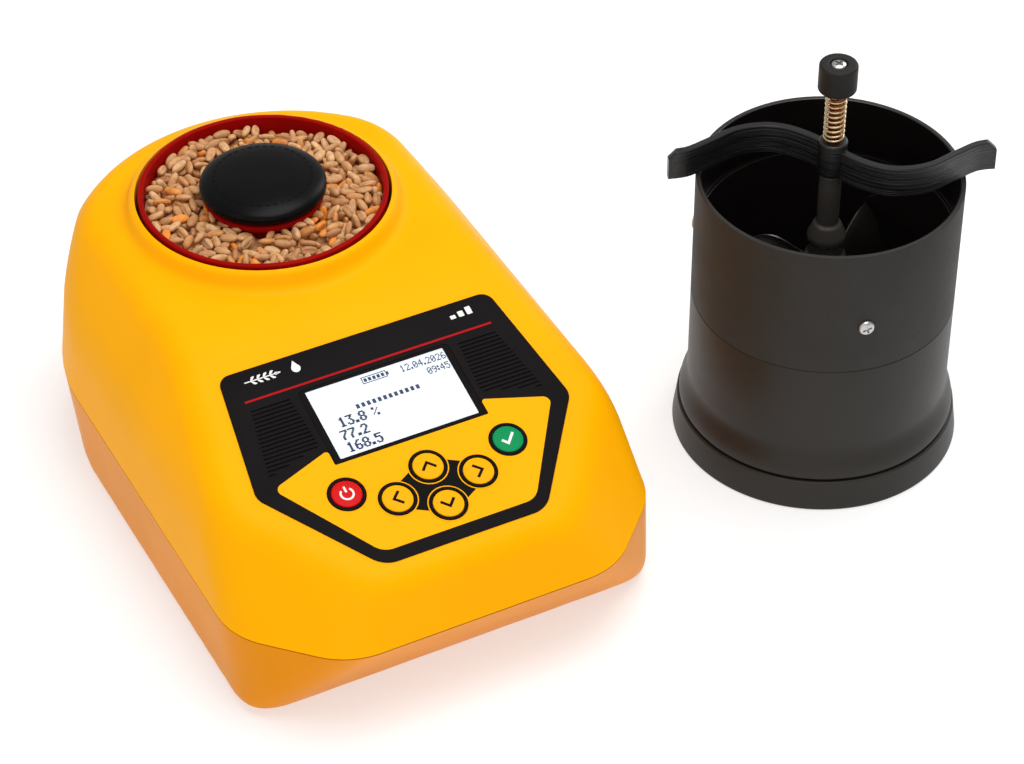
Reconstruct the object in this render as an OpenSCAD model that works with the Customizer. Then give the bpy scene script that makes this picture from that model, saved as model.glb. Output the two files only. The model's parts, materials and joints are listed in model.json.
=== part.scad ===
// Grain moisture meter: a two-shell case with a weighing vessel and a keypad panel,
// and the round filling hopper that belongs to it, standing beside the case.
// Millimetres, +Z up, the table at z = 0. The origin is the middle of the footprint.

/* [Case] */
// Half the width of the case, which is also the radius of its round rear end
case_r = 85.6; // [80:0.2:92]
// Distance from the vessel's axis to the front of the case
front_y = 186.8; // [175:0.2:200]
// Height of the parting line between the two shells
parting_z = 37.7; // [34:0.1:42]
// Height of the flat plateau round the vessel
plateau_z = 95.5; // [92:0.1:99]
// Slope of the keypad deck
deck_slope = 15.66; // [12:0.01:18]
// Wall thickness of both shells
wall = 2.6; // [2:0.1:3.2]
// Length of each leg of the cut-off front corners
corner_cut = 32; // [24:1:40]

/* [Vessel] */
// Outer radius of the vessel's rim
rim_r = 48; // [46:0.1:48.2]
// Height of the vessel's rim
rim_z = 103.5; // [102:0.1:106]
// Depth of the vessel inside
vessel_depth = 41.5; // [36:0.5:44]
// Radius of the electrode post in the vessel
post_r = 20; // [16:0.5:21]
// Radius of the round cap on the post
knob_r = 24.3; // [23.5:0.1:26]

/* [Panel] */
// Radius of each key
key_r = 5.7; // [4.5:0.1:5.9]
// Travel of each key
key_travel = 0.5; // [0.3:0.1:0.6]
// Half the width of the display window
window_w = 30.6; // [28:0.1:31]
// Height of the display window along the deck
window_h = 34.2; // [32:0.1:35]

/* [Hopper] */
// Sideways distance from the vessel's axis to the hopper's axis
hopper_dx = 185; // [180:0.2:220]
// Distance of the hopper's axis in front of the vessel's axis
hopper_dy = 110; // [60:1:130]
// Outer radius of the hopper's tube
tube_r = 50.8; // [50:0.1:52]
// Height of the hopper's rim
tube_z = 119.5; // [110:0.5:130]
// Travel of the press knob
press_travel = 10; // [6:0.5:10]
// Turn of the bridge handle as it stands
handle_turn = -28; // [-180:1:180]

/* [Hidden] */

fine = 96;                       // facets of large exact circles
ring_r = 56;                     // foot radius of the hopper's base ring
rear_y = -10;                    // centre of the rear arc at the parting line
rear_low = -17;                  // the same at the bottom
row_x = -(hopper_dx + ring_r - case_r) / 2;   // vessel axis from the middle of the footprint
row_y = (front_y - case_r - rear_y) / 2;
seam = 0.5;                      // half the gap at the parting line
low_z = parting_z - seam;        // top edge of the base shell
high_z = parting_z + seam;       // bottom edge of the top shell
floor_z = 2;                     // underside of the base shell, held up by the feet
foot_r = 7;
crease_z = 66.4;                 // where the side walls turn into the side facets
crease_x = 82.7;
corner_r = 22;                   // plan radius of the front corners at the parting line
base_in = 1.9;                   // how far the base's sides lean in at the bottom
base_front = 161.5;              // front of the base at the bottom
base_corner = 14;

// The deck's own frame: its origin is on the deck between the keys
deck_y = -149.24;
deck_z = 70.24;
window_v = 21.6;                 // lower edge of the window on the deck
overlay_t = 1;                   // thickness of the overlay
overlay_top = 0.4;               // height of its face over the deck
key_hole = key_r + 0.25;
key_top = 1.2;
side_key = [32.34, 8.52];
arrow_x = 16.18;
arrow_v = 8.57;
KEYS = [
  [-side_key[0], side_key[1]], side_key, [0, arrow_v], [0, -arrow_v], [-arrow_x, 0], [arrow_x, 0]
];

screw_spots = [[-52, 33], [52, 33], [-68, -122], [68, -122]];
foot_spots = [[-40, 42], [40, 42], [-64, -146], [64, -146]];
board_spots = [[-40, -147], [40, -147], [-40, -90], [40, -90]];
boss_r = 4;
rear_boss_z = 93.5;              // the bosses end inside the upper shell's roof
front_boss_z = 75.8;

// Battery bay: four cells side by side across the case
cell_r = 7.25;
cell_l = 50.5;
cell_pitch = 14.9;
cell_z = 12.6;
bay_y = -112;
hinge_y = -79;
hinge_z = 3.9;
barrel_r = 1.9;
port_y = 71;                     // outside of the rear wall at the charging socket
hinge_pin_r = 0.8;
door_w = 68;
door_l = 64;

well_r = 49.2;                   // bore the vessel stands in
cup_z = 57;                      // underside of the vessel on its platform
cup_floor = rim_z - vessel_depth;
cell_bar = 12.7;                 // load cell's section
cell_bar_z = 27;

spigot_r = 49.3;
tube_in = 48;
joint_z = 65;                    // where the sleeve meets the lower body
sleeve_screw_z = 86;
sleeve_screw_turn = [-104, 16, 136];
lip_z = 33;                      // underside of the seat the valve plate closes on
bar_z = 120.7;
bar_h = 12.5;
hub_top = 136;
spring_top = hub_top + 13 + press_travel;
rod_r = 2.5;
journal_r = 4.25;

module at_meter() { translate([row_x, row_y, 0]) children(); }
module at_hopper() { translate([row_x + hopper_dx, row_y - hopper_dy, 0]) children(); }
module on_deck() { at_meter() translate([0, deck_y, deck_z]) rotate([deck_slope, 0, 0]) children(); }
module both_sides() { children(); mirror([1, 0, 0]) children(); }
module tube(r1, r2, z1, z2, fn = 96) {
  difference() {
    translate([0, 0, z1]) cylinder(r = r2, h = z2 - z1, $fn = fn);
    translate([0, 0, z1 - 1]) cylinder(r = r1, h = z2 - z1 + 2, $fn = fn);
  }
}
module plate(x, y, z1, z2) { translate([-x / 2, -y / 2, z1]) cube([x, y, z2 - z1]); }

// Front corner centres at the parting line, tangent to side, cut and front
function corner_side(r) = [case_r - r, -(front_y - corner_cut - (sqrt(2) - 1) * r)];
function corner_front(r) = [case_r - corner_cut - (sqrt(2) - 1) * r, -(front_y - r)];

module disc(p, z, r, fn) { translate([p[0], p[1], z]) cylinder(r = r, h = 0.2, $fn = fn); }

// Solid form of the lower half, drawn in by t on every side
module base_form(t, top) {
  hull() {
    disc([0, rear_low], floor_z + t, case_r - base_in - 2 - t, 64);
    disc([0, rear_low], floor_z + 2 + t, case_r - base_in - t, 64);
    disc([0, rear_y], top - 0.2, case_r - t, 64);
    both_sides() {
      translate([case_r - base_in - base_corner, -(base_front - base_corner)]) {
        disc([0, 0], floor_z + t, base_corner - 2 - t, 32);
        disc([0, 0], floor_z + 2 + t, base_corner - t, 32);
      }
      disc(corner_side(corner_r), top - 0.2, corner_r - t, 32);
      disc(corner_front(corner_r), top - 0.2, corner_r - t, 32);
    }
  }
}

// Rear arc from the side creases up to the plateau: height, radius, centre and half width
REAR = [
  [crease_z, crease_x, -10.5, crease_x], [79, 81.4, -12.6, 74.5], [91.5, 80.1, -14.8, 66.2],
  [94.4, 78.4, -15.2, 63.8], [plateau_z, 75.4, -15.6, 61.5]
];
// Plan places of the deck's corners, from the plateau to the front
DECK = [[57, -58], [69.6, -127.5], [38.6, -169.2], [33, -172.6]];
function deck_height(y) = deck_z + (y - deck_y) * tan(deck_slope);

// One corner of the deck: a disc in its plane and a wider one just below
module deck_corner(p, t) {
  translate([p[0], p[1], deck_height(p[1])]) rotate([deck_slope, 0, 0]) {
    translate([0, 0, -0.2 - t]) cylinder(r = 4.5 - t, h = 0.2, $fn = 16);
    translate([0, 0, -1.2 - t]) cylinder(r = 6.6 - t, h = 0.2, $fn = 16);
  }
}

// Thin slice bounded by the rear arc, as wide as the side facets leave it
module rear_slice(p, t) {
  start = acos(min(1, (p[3] - t) / (p[1] - t)));
  step = (180 - 2 * start) / 28;
  translate([0, p[2], p[0] - 0.2 - t]) linear_extrude(0.2)
    polygon([for (i = [0:28]) (p[1] - t) * [cos(start + i * step), sin(start + i * step)]]);
}

// Solid form of the upper half, drawn in by t on every side
module top_form(t, low) {
  hull() {
    disc([0, rear_y], low, case_r - t, 56);
    for (p = REAR) rear_slice(p, t);
    both_sides() {
      disc(corner_side(corner_r), low, corner_r - t, 24);
      disc(corner_front(corner_r), low, corner_r - t, 24);
      disc([crease_x - 6, -122], crease_z - 0.2 - t, 6 - t, 16);
      for (p = DECK) deck_corner(p, t);
    }
  }
}

// ---- Case ----

module base_shell() {
  lug = 4;
  color([0.94, 0.60, 0.0]) at_meter() {
    difference() {
      union() {
        difference() {
          base_form(0, low_z);
          base_form(wall, low_z + 1);
        }
        for (p = screw_spots) translate([p[0], p[1], floor_z + 1])
          cylinder(r = boss_r, h = low_z - floor_z - 1, $fn = 32);
        for (p = board_spots) translate([p[0], p[1], floor_z + 1])
          cylinder(r = 3, h = 22 - floor_z, $fn = 32);
        both_sides() translate([door_w / 2 + 0.4, hinge_y - 3, floor_z]) cube([lug, 6, 5]);
      }
      for (p = screw_spots) translate([p[0], p[1], 0]) {
        cylinder(r = 1.7, h = 50, $fn = 32);
        cylinder(r = 3.2, h = 8, $fn = 32);
      }
      for (p = board_spots) translate([p[0], p[1], 12]) cylinder(r = 1.1, h = 20, $fn = 32);
      for (p = foot_spots) translate([p[0], p[1], -1]) cylinder(r = foot_r, h = floor_z + 2, $fn = 48);
      translate([-door_w / 2 - 0.4, hinge_y - door_l - 0.4, 0])
        cube([door_w + 0.8, door_l + 0.8 + barrel_r, 4.7]);
      translate([-door_w / 2 - 3, hinge_y, hinge_z]) rotate([0, 90, 0])
        cylinder(r = hinge_pin_r, h = door_w + 6, $fn = 24);
      translate([-4.7, port_y - 6, 19.8]) cube([9.4, 12, 3.6]);
    }
  }
}

module top_shell() {
  color([1.0, 0.77, 0.0]) at_meter() {
    difference() {
      union() {
        difference() {
          top_form(0, high_z);
          top_form(wall, high_z - 1);
        }
        for (i = [0:3]) translate([screw_spots[i][0], screw_spots[i][1], high_z])
          cylinder(r = boss_r, h = (i < 2 ? rear_boss_z : front_boss_z) - high_z, $fn = 32);
        rotate_extrude($fn = 96) polygon([
          [48.5, plateau_z - 1.5], [54, plateau_z - 1.5], [54, plateau_z + 0.2],
          [50.8, rim_z - 1.6], [50.2, rim_z - 1], [48.5, rim_z - 1]
        ]);
      }
      translate([0, 0, 60]) cylinder(r = well_r, h = 60, $fn = 96);
      for (p = screw_spots) translate([p[0], p[1], high_z - 1]) cylinder(r = 1.3, h = 15, $fn = 24);
      translate([0, deck_y, deck_z]) rotate([deck_slope, 0, 0]) {
        for (p = KEYS) translate([p[0], p[1], -6]) cylinder(r = key_hole, h = 12, $fn = 48);
        translate([-window_w, window_v, -8]) cube([2 * window_w, window_h, 12]);
        translate([0, 0, overlay_top - overlay_t]) linear_extrude(5) overlay_outline(0.1);
      }
    }
  }
}

module parting_outline(t) {
  hull() {
    translate([0, rear_y]) circle(r = case_r - t, $fn = 64);
    both_sides() {
      translate(corner_side(corner_r)) circle(r = corner_r - t, $fn = 32);
      translate(corner_front(corner_r)) circle(r = corner_r - t, $fn = 32);
    }
  }
}

module seam_gasket() {
  color([0.10, 0.09, 0.08]) at_meter() translate([0, 0, low_z]) linear_extrude(2 * seam)
    difference() {
      parting_outline(0.7);
      parting_outline(wall);
    }
}

module rubber_feet() {
  color([0.08, 0.08, 0.08]) at_meter() for (p = foot_spots) translate([p[0], p[1], 0]) {
    cylinder(r1 = foot_r - 0.8, r2 = foot_r - 0.1, h = 0.8, $fn = 48);
    translate([0, 0, 0.8]) cylinder(r = foot_r - 0.1, h = floor_z + 0.2, $fn = 48);
  }
}

module screw(head_r, head_h, shank_r, shank_l, slot = 1) {
  difference() {
    union() {
      cylinder(r = head_r, h = head_h, $fn = 32);
      translate([0, 0, head_h]) cylinder(r = shank_r, h = shank_l, $fn = 24);
    }
    for (a = [0, 90]) rotate(a) translate([-head_r * 0.6, -slot / 2, -1])
      cube([head_r * 1.2, slot, 1 + head_h * 0.5]);
  }
}

module case_screws() {
  color([0.72, 0.72, 0.70]) at_meter() for (p = screw_spots) translate([p[0], p[1], 6])
    screw(3, 2, 1.3, 40);
}

// ---- Battery bay ----

module battery_door() {
  color([0.90, 0.56, 0.0]) at_meter() difference() {
    union() {
      translate([-door_w / 2, hinge_y - door_l, floor_z]) cube([door_w, door_l, wall]);
      translate([-door_w / 2, hinge_y, hinge_z]) rotate([0, 90, 0])
        cylinder(r = barrel_r, h = door_w, $fn = 32);
    }
    translate([-door_w, hinge_y, hinge_z]) rotate([0, 90, 0])
      cylinder(r = hinge_pin_r + 0.05, h = 2 * door_w, $fn = 24);
    for (i = [0:4]) translate([-14, hinge_y - door_l + 5 + 2.4 * i, floor_z - 1]) cube([28, 1.2, 1.6]);
  }
}

module door_pin() {
  color([0.75, 0.75, 0.75]) at_meter() translate([-door_w / 2 - 2.9, hinge_y, hinge_z]) rotate([0, 90, 0])
    cylinder(r = hinge_pin_r, h = door_w + 5.8, $fn = 24);
}

module cell_row() {
  for (i = [0:3]) translate([0, bay_y + (i - 1.5) * cell_pitch, cell_z])
    rotate([0, i % 2 == 0 ? 90 : -90, 0]) children();
}

module battery_cells() {
  color([0.25, 0.27, 0.30]) at_meter() cell_row() {
    translate([0, 0, -cell_l / 2]) cylinder(r = cell_r, h = cell_l - 1.5, $fn = 40);
    translate([0, 0, cell_l / 2 - 1.5]) cylinder(r = 2.6, h = 1.5, $fn = 24);
  }
}

module battery_holder() {
  bay_l = 4 * cell_pitch + 1;
  color([0.12, 0.12, 0.12]) at_meter() translate([0, bay_y, 0]) difference() {
    union() {
      plate(60, bay_l + 3, 6, 22);
      plate(76, 20, 4.7, 6.7);
    }
    plate(56, bay_l, 4, 20.4);
  }
}

module battery_contacts() {
  color([0.80, 0.78, 0.70]) at_meter() cell_row() {
    translate([-4, -4, cell_l / 2]) cube([8, 8, 0.8]);
    translate([0, 0, -cell_l / 2 - 1.6]) cylinder(r1 = 3, r2 = 2, h = 1.6, $fn = 24);
  }
}

// ---- Electronics ----

module main_board() {
  color([0.05, 0.32, 0.16]) at_meter() difference() {
    union() {
      translate([-46, -152, 24]) cube([92, 68, 1.6]);
      translate([-14, -128, 25.6]) cube([16, 16, 1.6]);
      translate([14, -136, 25.6]) cube([10, 22, 2.4]);
      translate([-38, -140, 25.6]) cube([12, 6, 6]);
    }
    for (p = board_spots) translate([p[0], p[1], 20]) cylinder(r = 1.6, h = 10, $fn = 24);
  }
}

module board_screws() {
  color([0.72, 0.72, 0.70]) at_meter() for (p = board_spots) translate([p[0], p[1], 27.2]) mirror([0, 0, 1])
    screw(2.6, 1.6, 1.1, 10, 0.8);
}

module buzzer() {
  color([0.07, 0.07, 0.07]) at_meter() translate([30, -100, 25.6]) difference() {
    cylinder(r = 6, h = 8, $fn = 40);
    translate([0, 0, 4]) cylinder(r = 1.2, h = 8, $fn = 20);
  }
}

module socket_board() {
  color([0.05, 0.32, 0.16]) at_meter() translate([-11, port_y - 22, 18.2]) cube([22, 17.4, 1.6]);
}

module usb_socket() {
  color([0.78, 0.78, 0.78]) at_meter() translate([0, port_y - 8, 19.8]) difference() {
    translate([-4.5, 0, 0]) cube([9, 7.6, 3.2]);
    translate([-4.1, 1.6, 0.4]) cube([8.2, 8, 2.4]);
  }
}

module keypad_board() {
  color([0.05, 0.32, 0.16]) on_deck() translate([-42, -17, -8]) cube([84, 34, 1.6]);
}

module dome_switches() {
  color([0.70, 0.70, 0.68]) on_deck() for (p = KEYS) translate([p[0], p[1], -6.4]) {
    cylinder(r = 3.5, h = 0.6, $fn = 32);
    cylinder(r = 2, h = 1.6 - key_travel, $fn = 32);
  }
}

module lcd_module() {
  color([0.05, 0.30, 0.16]) on_deck() translate([-34, 18.6, -7]) cube([68, 40, 3.4]);
}

module lcd_glass() {
  color([0.88, 0.90, 0.92]) on_deck() translate([-window_w + 0.6, window_v + 0.6, -3.6])
    cube([2 * window_w - 1.2, window_h - 1.2, 2.6]);
}

module display_window() {
  color([0.80, 0.86, 0.92, 0.5]) on_deck() translate([-window_w + 0.1, window_v + 0.1, -1])
    cube([2 * window_w - 0.2, window_h - 0.2, 1.2]);
}

// Six-sided outline of the overlay, wide in the middle and narrow at the front
PANEL = [[54.9, 71.75], [63.1, 18.54], [32.3, -23.55]];
panel_corner = 7;

function unit(a) = a / norm(a);
// Centre of the rounding circle in the corner b between a and c
function fillet(a, b, c, r) =
  let (m = unit(unit(a - b) + unit(c - b)), s = abs(unit(a - b)[0] * m[1] - unit(a - b)[1] * m[0]))
  b + m * r / s;
function flip(p) = [-p[0], p[1]];

module overlay_outline(grow) {
  ring = [flip(PANEL[0]), PANEL[0], PANEL[1], PANEL[2], flip(PANEL[2])];
  hull() both_sides() for (i = [1:3])
    translate(fillet(ring[i - 1], ring[i], ring[i + 1], panel_corner))
      circle(r = panel_corner + grow, $fn = 32);
}

module panel_overlay() {
  slot_gap = 1.55;
  color([0.14, 0.14, 0.14]) on_deck() difference() {
    union() {
      translate([0, 0, overlay_top - overlay_t]) linear_extrude(overlay_t) overlay_outline(0);
      for (p = KEYS) translate([p[0], p[1], 0]) cylinder(r = key_r + 1.4, h = overlay_top + 0.5, $fn = 48);
    }
    for (p = KEYS) translate([p[0], p[1], -2]) cylinder(r = key_hole, h = 6, $fn = 48);
    translate([-window_w, window_v, -2]) cube([2 * window_w, window_h, 4]);
    both_sides() for (i = [0:16])
      translate([36 + i * 0.1, 23 + i * slot_gap, overlay_top - 0.4]) cube([14 - i * 0.25, 0.6, 1]);
  }
}

module key(i) {
  on_deck() translate([KEYS[i][0], KEYS[i][1], 0]) rotate_extrude($fn = 48) polygon([
    [0, -4.7], [2, -4.7], [2, -3.9], [key_r + 1, -3.9], [key_r + 1, -2.9], [key_r, -2.9],
    [key_r, key_top - 0.5], [key_r - 0.5, key_top], [0, key_top + 0.2]
  ]);
}
module power_key() { color([0.84, 0.06, 0.06]) key(0); }
module ok_key() { color([0.02, 0.61, 0.35]) key(1); }
module up_key() { color([1.0, 0.77, 0.0]) key(2); }
module down_key() { color([1.0, 0.77, 0.0]) key(3); }
module left_key() { color([1.0, 0.77, 0.0]) key(4); }
module right_key() { color([1.0, 0.77, 0.0]) key(5); }

// ---- Vessel and balance ----

module vessel_cup() {
  color([0.72, 0.04, 0.10]) at_meter() rotate_extrude($fn = fine) polygon([
    [2.2, cup_z + 2], [12, cup_z + 2], [12, cup_z], [26, cup_z], [rim_r - 4, cup_z + 1],
    [rim_r - 0.4, cup_z + 5],
    [rim_r - 0.4, rim_z - 8], [rim_r, rim_z - 7], [rim_r, rim_z - 0.5], [rim_r - 0.5, rim_z],
    [rim_r - 1.5, rim_z], [rim_r - 2, rim_z - 0.5], [rim_r - 2, cup_floor], [2.2, cup_floor]
  ]);
}

module vessel_post() {
  neck = rim_z - 6;
  color([0.72, 0.04, 0.10]) at_meter() rotate_extrude($fn = fine) polygon([
    [post_r - 2, cup_floor], [post_r, cup_floor], [post_r, neck], [post_r + 3, neck + 3],
    [post_r + 3, neck + 4.8],
    [2.2, neck + 4.8], [2.2, neck + 2.8], [post_r - 2, neck + 2.8]
  ]);
}

module vessel_knob() {
  base = rim_z - 1.2;
  edge = rim_z + 5.6;
  color([0.09, 0.08, 0.08]) at_meter() rotate_extrude($fn = fine) polygon(concat(
    [[0, base + 2], [1.6, base + 2], [1.6, base], [knob_r - 2.3, base], [knob_r - 1.4, base + 1.4],
    [knob_r, base + 2.2],
     [knob_r, edge - 1]],
    [for (i = [0:8]) let (a = i / 8) [(knob_r - 0.6) * cos(90 * a), edge + 1.9 * sin(90 * a)]]
  ));
}

module post_screw() {
  color([0.75, 0.75, 0.72]) at_meter() translate([0, 0, cup_z + 2.6]) {
    screw(1.9, 1.8, 1.6, rim_z - cup_z - 3.8, 0.7);
  }
}

module vessel_well() {
  color([0.16, 0.16, 0.16]) at_meter() union() {
    tube(well_r, well_r + 2.4, 50, plateau_z - wall);
    difference() {
      tube(9, well_r + 2.4, 50, 52.4);
      for (a = [45, 225]) rotate(a) translate([34, 0, 45]) cylinder(r = 2, h = 10, $fn = 24);
      rotate(135) translate([36, 0, 45]) cylinder(r = 2.5, h = 10, $fn = 24);
    }
  }
}

module load_platform() {
  color([0.80, 0.80, 0.80]) at_meter() {
    translate([0, 0, 53.6]) cylinder(r = 28, h = cup_z - 53.6, $fn = 72);
    translate([0, 0, cell_bar_z + cell_bar]) cylinder(r = 7, h = 14, $fn = 48);
  }
}

module load_cell() {
  color([0.82, 0.83, 0.84]) at_meter() difference() {
    translate([-cell_bar / 2, -72, cell_bar_z]) cube([cell_bar, 80, cell_bar]);
    for (y = [-38, -26]) translate([-20, y, cell_bar_z + cell_bar / 2]) rotate([0, 90, 0])
      cylinder(r = 4.6, h = 40, $fn = 40);
    translate([-20, -38, cell_bar_z + cell_bar / 2 - 1.5]) cube([40, 12, 3]);
    for (y = [-66, -56]) translate([0, y, 0]) cylinder(r = 2, h = 60, $fn = 24);
    cylinder(r = 2, h = cell_bar_z + 8, $fn = 24);
  }
}

module load_cell_bracket() {
  color([0.35, 0.36, 0.38]) at_meter() difference() {
    translate([-9, -74, floor_z + wall]) cube([18, 24, cell_bar_z - floor_z - wall]);
    for (y = [-66, -56]) translate([0, y, 10]) cylinder(r = 2, h = 30, $fn = 24);
  }
}

module load_cell_screws() {
  top = cell_bar_z + cell_bar;
  color([0.72, 0.72, 0.70]) at_meter() {
    for (y = [-66, -56]) translate([0, y, top + 2.5]) mirror([0, 0, 1]) screw(3.4, 2.5, 1.95, 24);
    translate([0, 0, cell_bar_z - 2.5]) screw(3.4, 2.5, 1.95, 7);
  }
}

module temperature_sensor() {
  color([0.75, 0.76, 0.78]) at_meter() rotate(135) translate([36, 0, 0]) {
    translate([0, 0, 44]) cylinder(r = 2.3, h = 12, $fn = 32);
    translate([0, 0, 45]) cylinder(r = 4, h = 5, $fn = 32);
  }
}

module contact_pins() {
  color([0.85, 0.70, 0.30]) at_meter() for (a = [45, 225]) rotate(a) translate([34, 0, 0]) {
    translate([0, 0, 46]) cylinder(r = 1.8, h = 8, $fn = 24);
    translate([0, 0, 54]) cylinder(r = 0.9, h = 2.6, $fn = 24);
    translate([0, 0, 46]) cylinder(r = 3.4, h = 4, $fn = 24);
  }
}

// ---- Hopper ----

module base_ring() {
  color([0.17, 0.16, 0.15]) at_hopper() rotate_extrude($fn = fine) polygon([
    [54.3, 0], [ring_r, 0], [ring_r, 0.6], [54.4, 12], [54, 12.5], [48.9, 12.5], [48.9, 10], [54.3, 10]
  ]);
}

module hopper_body() {
  color([0.20, 0.19, 0.18]) at_hopper() difference() {
    rotate_extrude($fn = fine) polygon([
      [48.9, 12.5], [52.4, 12.5], [52.4, 13.3], [53.6, 13.5], [53.7, 15], [52.6, 20], [51.4, 24],
      [tube_r, 27],
      [tube_r, joint_z], [spigot_r, joint_z], [spigot_r, 95], [tube_in, 95], [tube_in, 38], [48.9, 37]
    ]);
    for (a = sleeve_screw_turn) rotate(a) translate([40, 0, sleeve_screw_z]) rotate([0, 90, 0])
      cylinder(r = 1.5, h = 20, $fn = 24);
  }
}

module valve_seat() {
  color([0.20, 0.19, 0.18]) at_hopper() rotate_extrude($fn = fine) polygon([
    [45.5, lip_z], [48.9, lip_z], [48.9, 37], [tube_in, 38], [45.5, lip_z + 3]
  ]);
}

module hopper_sleeve() {
  color([0.15, 0.14, 0.13]) at_hopper() difference() {
    rotate_extrude($fn = fine) polygon([
      [spigot_r, joint_z], [tube_r, joint_z], [tube_r, tube_z - 0.5], [tube_r - 0.5, tube_z],
      [tube_in + 1.3, tube_z],
      [tube_in + 0.8, tube_z - 0.5], [tube_in + 0.8, 95.5], [spigot_r, 95.5]
    ]);
    for (a = sleeve_screw_turn) rotate(a) translate([40, 0, sleeve_screw_z]) rotate([0, 90, 0])
      cylinder(r = 1.5, h = 20, $fn = 24);
  }
}

module sleeve_screws() {
  color([0.78, 0.78, 0.76]) at_hopper() for (a = sleeve_screw_turn) rotate(a)
    translate([tube_r + 1.8, 0, sleeve_screw_z]) rotate([0, -90, 0]) screw(3.1, 1.8, 1.5, 2.8, 0.8);
}

module bearing_spider() {
  color([0.20, 0.19, 0.18]) at_hopper() {
    tube(tube_in - 2.5, tube_in, 38, 43);
    tube(5.6, 8.5, 36, 46);
    for (i = [0:2]) rotate(20 + 120 * i) translate([7.5, -1.2, 38]) cube([tube_in - 9, 2.4, 5]);
  }
}

module rod_bush() { color([0.80, 0.62, 0.30]) at_hopper() tube(journal_r + 0.05, 5.6, 36, 46, 48); }

// One straight length of the bar between two plan points
module bar_length(a, b, t) {
  d = b - a;
  translate(a) rotate(atan2(d[1], d[0])) translate([0, -t / 2]) square([norm(d), t]);
}

module bridge_handle() {
  t = 2.9;
  bend = [24, -13];
  tip = [61, 4];
  color([0.20, 0.19, 0.18]) at_hopper() rotate(handle_turn) difference() {
    union() {
      translate([0, 0, bar_z]) linear_extrude(bar_h) for (s = [1, -1]) {
        bar_length([0, 0], s * bend, t);
        bar_length(s * bend, s * tip, t);
        translate(s * bend) circle(r = t / 2, $fn = 24);
      }
      translate([0, 0, bar_z]) cylinder(r = 5.5, h = hub_top - bar_z, $fn = 48);
    }
    translate([0, 0, bar_z - 1]) cylinder(r = rod_r + 0.06, h = 40, $fn = 48);
  }
}

// Tube with stepped rings and three curved paddles
module wiper_rotor() {
  bore = rod_r + 0.06;
  paddle = [[3, 50], [30, 50], [41, 58], [44, 70], [43, 84], [38, 91], [26, 88], [12, 82], [3, 80]];
  color([0.20, 0.19, 0.18]) at_hopper() rotate(handle_turn) {
    rotate_extrude($fn = 48) polygon([
      [bore, 34], [journal_r, 34], [journal_r, 46.3], [6.5, 46.3], [6.5, 78], [8, 79], [8, 82], [6.8, 84],
      [6.8, 89],
      [7.4, 90], [7.4, 92], [5.4, 97], [journal_r, 98], [journal_r, bar_z], [bore, bar_z]
    ]);
    for (i = [0:2]) rotate(-84 + 120 * i) translate([0, 0.8, 0]) rotate([90, 0, 0]) linear_extrude(1.6)
      polygon(paddle);
  }
}

module retaining_ring() { color([0.75, 0.75, 0.75]) at_hopper() tube(journal_r, 7, 34.4, 35.6, 48); }

// Compression spring drawn as one round wire on a helix
module return_spring() {
  turns = 9;
  mean_r = 3.6;
  wire = 0.45;
  steps = 12;
  sides = 6;
  bottom = hub_top + wire;
  rise = spring_top - hub_top - 2 * wire;
  function ring_point(i, j) = let (
    a = 360 * i / steps,
    c = 360 * j / sides,
    r = mean_r + wire * cos(c)
  ) [r * cos(a), r * sin(a), bottom + rise * i / (turns * steps) + wire * sin(c)];
  n = turns * steps;
  points = [for (i = [0:n]) for (j = [0:sides - 1]) ring_point(i, j)];
  sides_faces = [for (i = [0:n - 1]) for (j = [0:sides - 1])
    [i * sides + j, i * sides + (j + 1) % sides, (i + 1) * sides + (j + 1) % sides, (i + 1) * sides + j]];
  cap_low = [for (j = [sides - 1:-1:0]) j];
  cap_high = [for (j = [0:sides - 1]) n * sides + j];
  color([0.72, 0.55, 0.25]) at_hopper() polyhedron(points, concat([cap_low], sides_faces, [cap_high]));
}

module push_rod() {
  color([0.65, 0.50, 0.28]) at_hopper() translate([0, 0, 26])
    cylinder(r = rod_r, h = spring_top + 6 - 26, $fn = 48);
}

module press_knob() {
  r = 7.3;
  top = spring_top + 11.5;
  color([0.12, 0.11, 0.11]) at_hopper() rotate_extrude($fn = 64) polygon([
    [rod_r, spring_top], [r - 0.6, spring_top], [r, spring_top + 0.6], [r, top - 3], [r - 0.9, top - 0.9],
    [r - 3, top],
    [3.2, top], [3.2, top - 1.6], [1.5, top - 1.6], [1.5, spring_top + 6], [rod_r, spring_top + 6]
  ]);
}

module press_knob_screw() {
  color([0.80, 0.80, 0.80]) at_hopper() translate([0, 0, spring_top + 11.7]) mirror([0, 0, 1])
    screw(3.1, 1.8, 1.5, 3.8, 0.8);
}

module valve_plate() {
  color([0.20, 0.19, 0.18]) at_hopper() difference() {
    union() {
      translate([0, 0, 30]) cylinder(r = 47.4, h = lip_z - 30.1, $fn = fine);
      translate([0, 0, 28]) cylinder(r = 7, h = 4, $fn = 48);
    }
    translate([0, 0, 20]) cylinder(r = rod_r, h = 20, $fn = 48);
  }
}

module valve_nut() {
  color([0.75, 0.75, 0.75]) at_hopper() difference() {
    translate([0, 0, 25.6]) cylinder(r = 4.6, h = 2.4, $fn = 6);
    translate([0, 0, 20]) cylinder(r = rod_r, h = 20, $fn = 48);
  }
}

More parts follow.
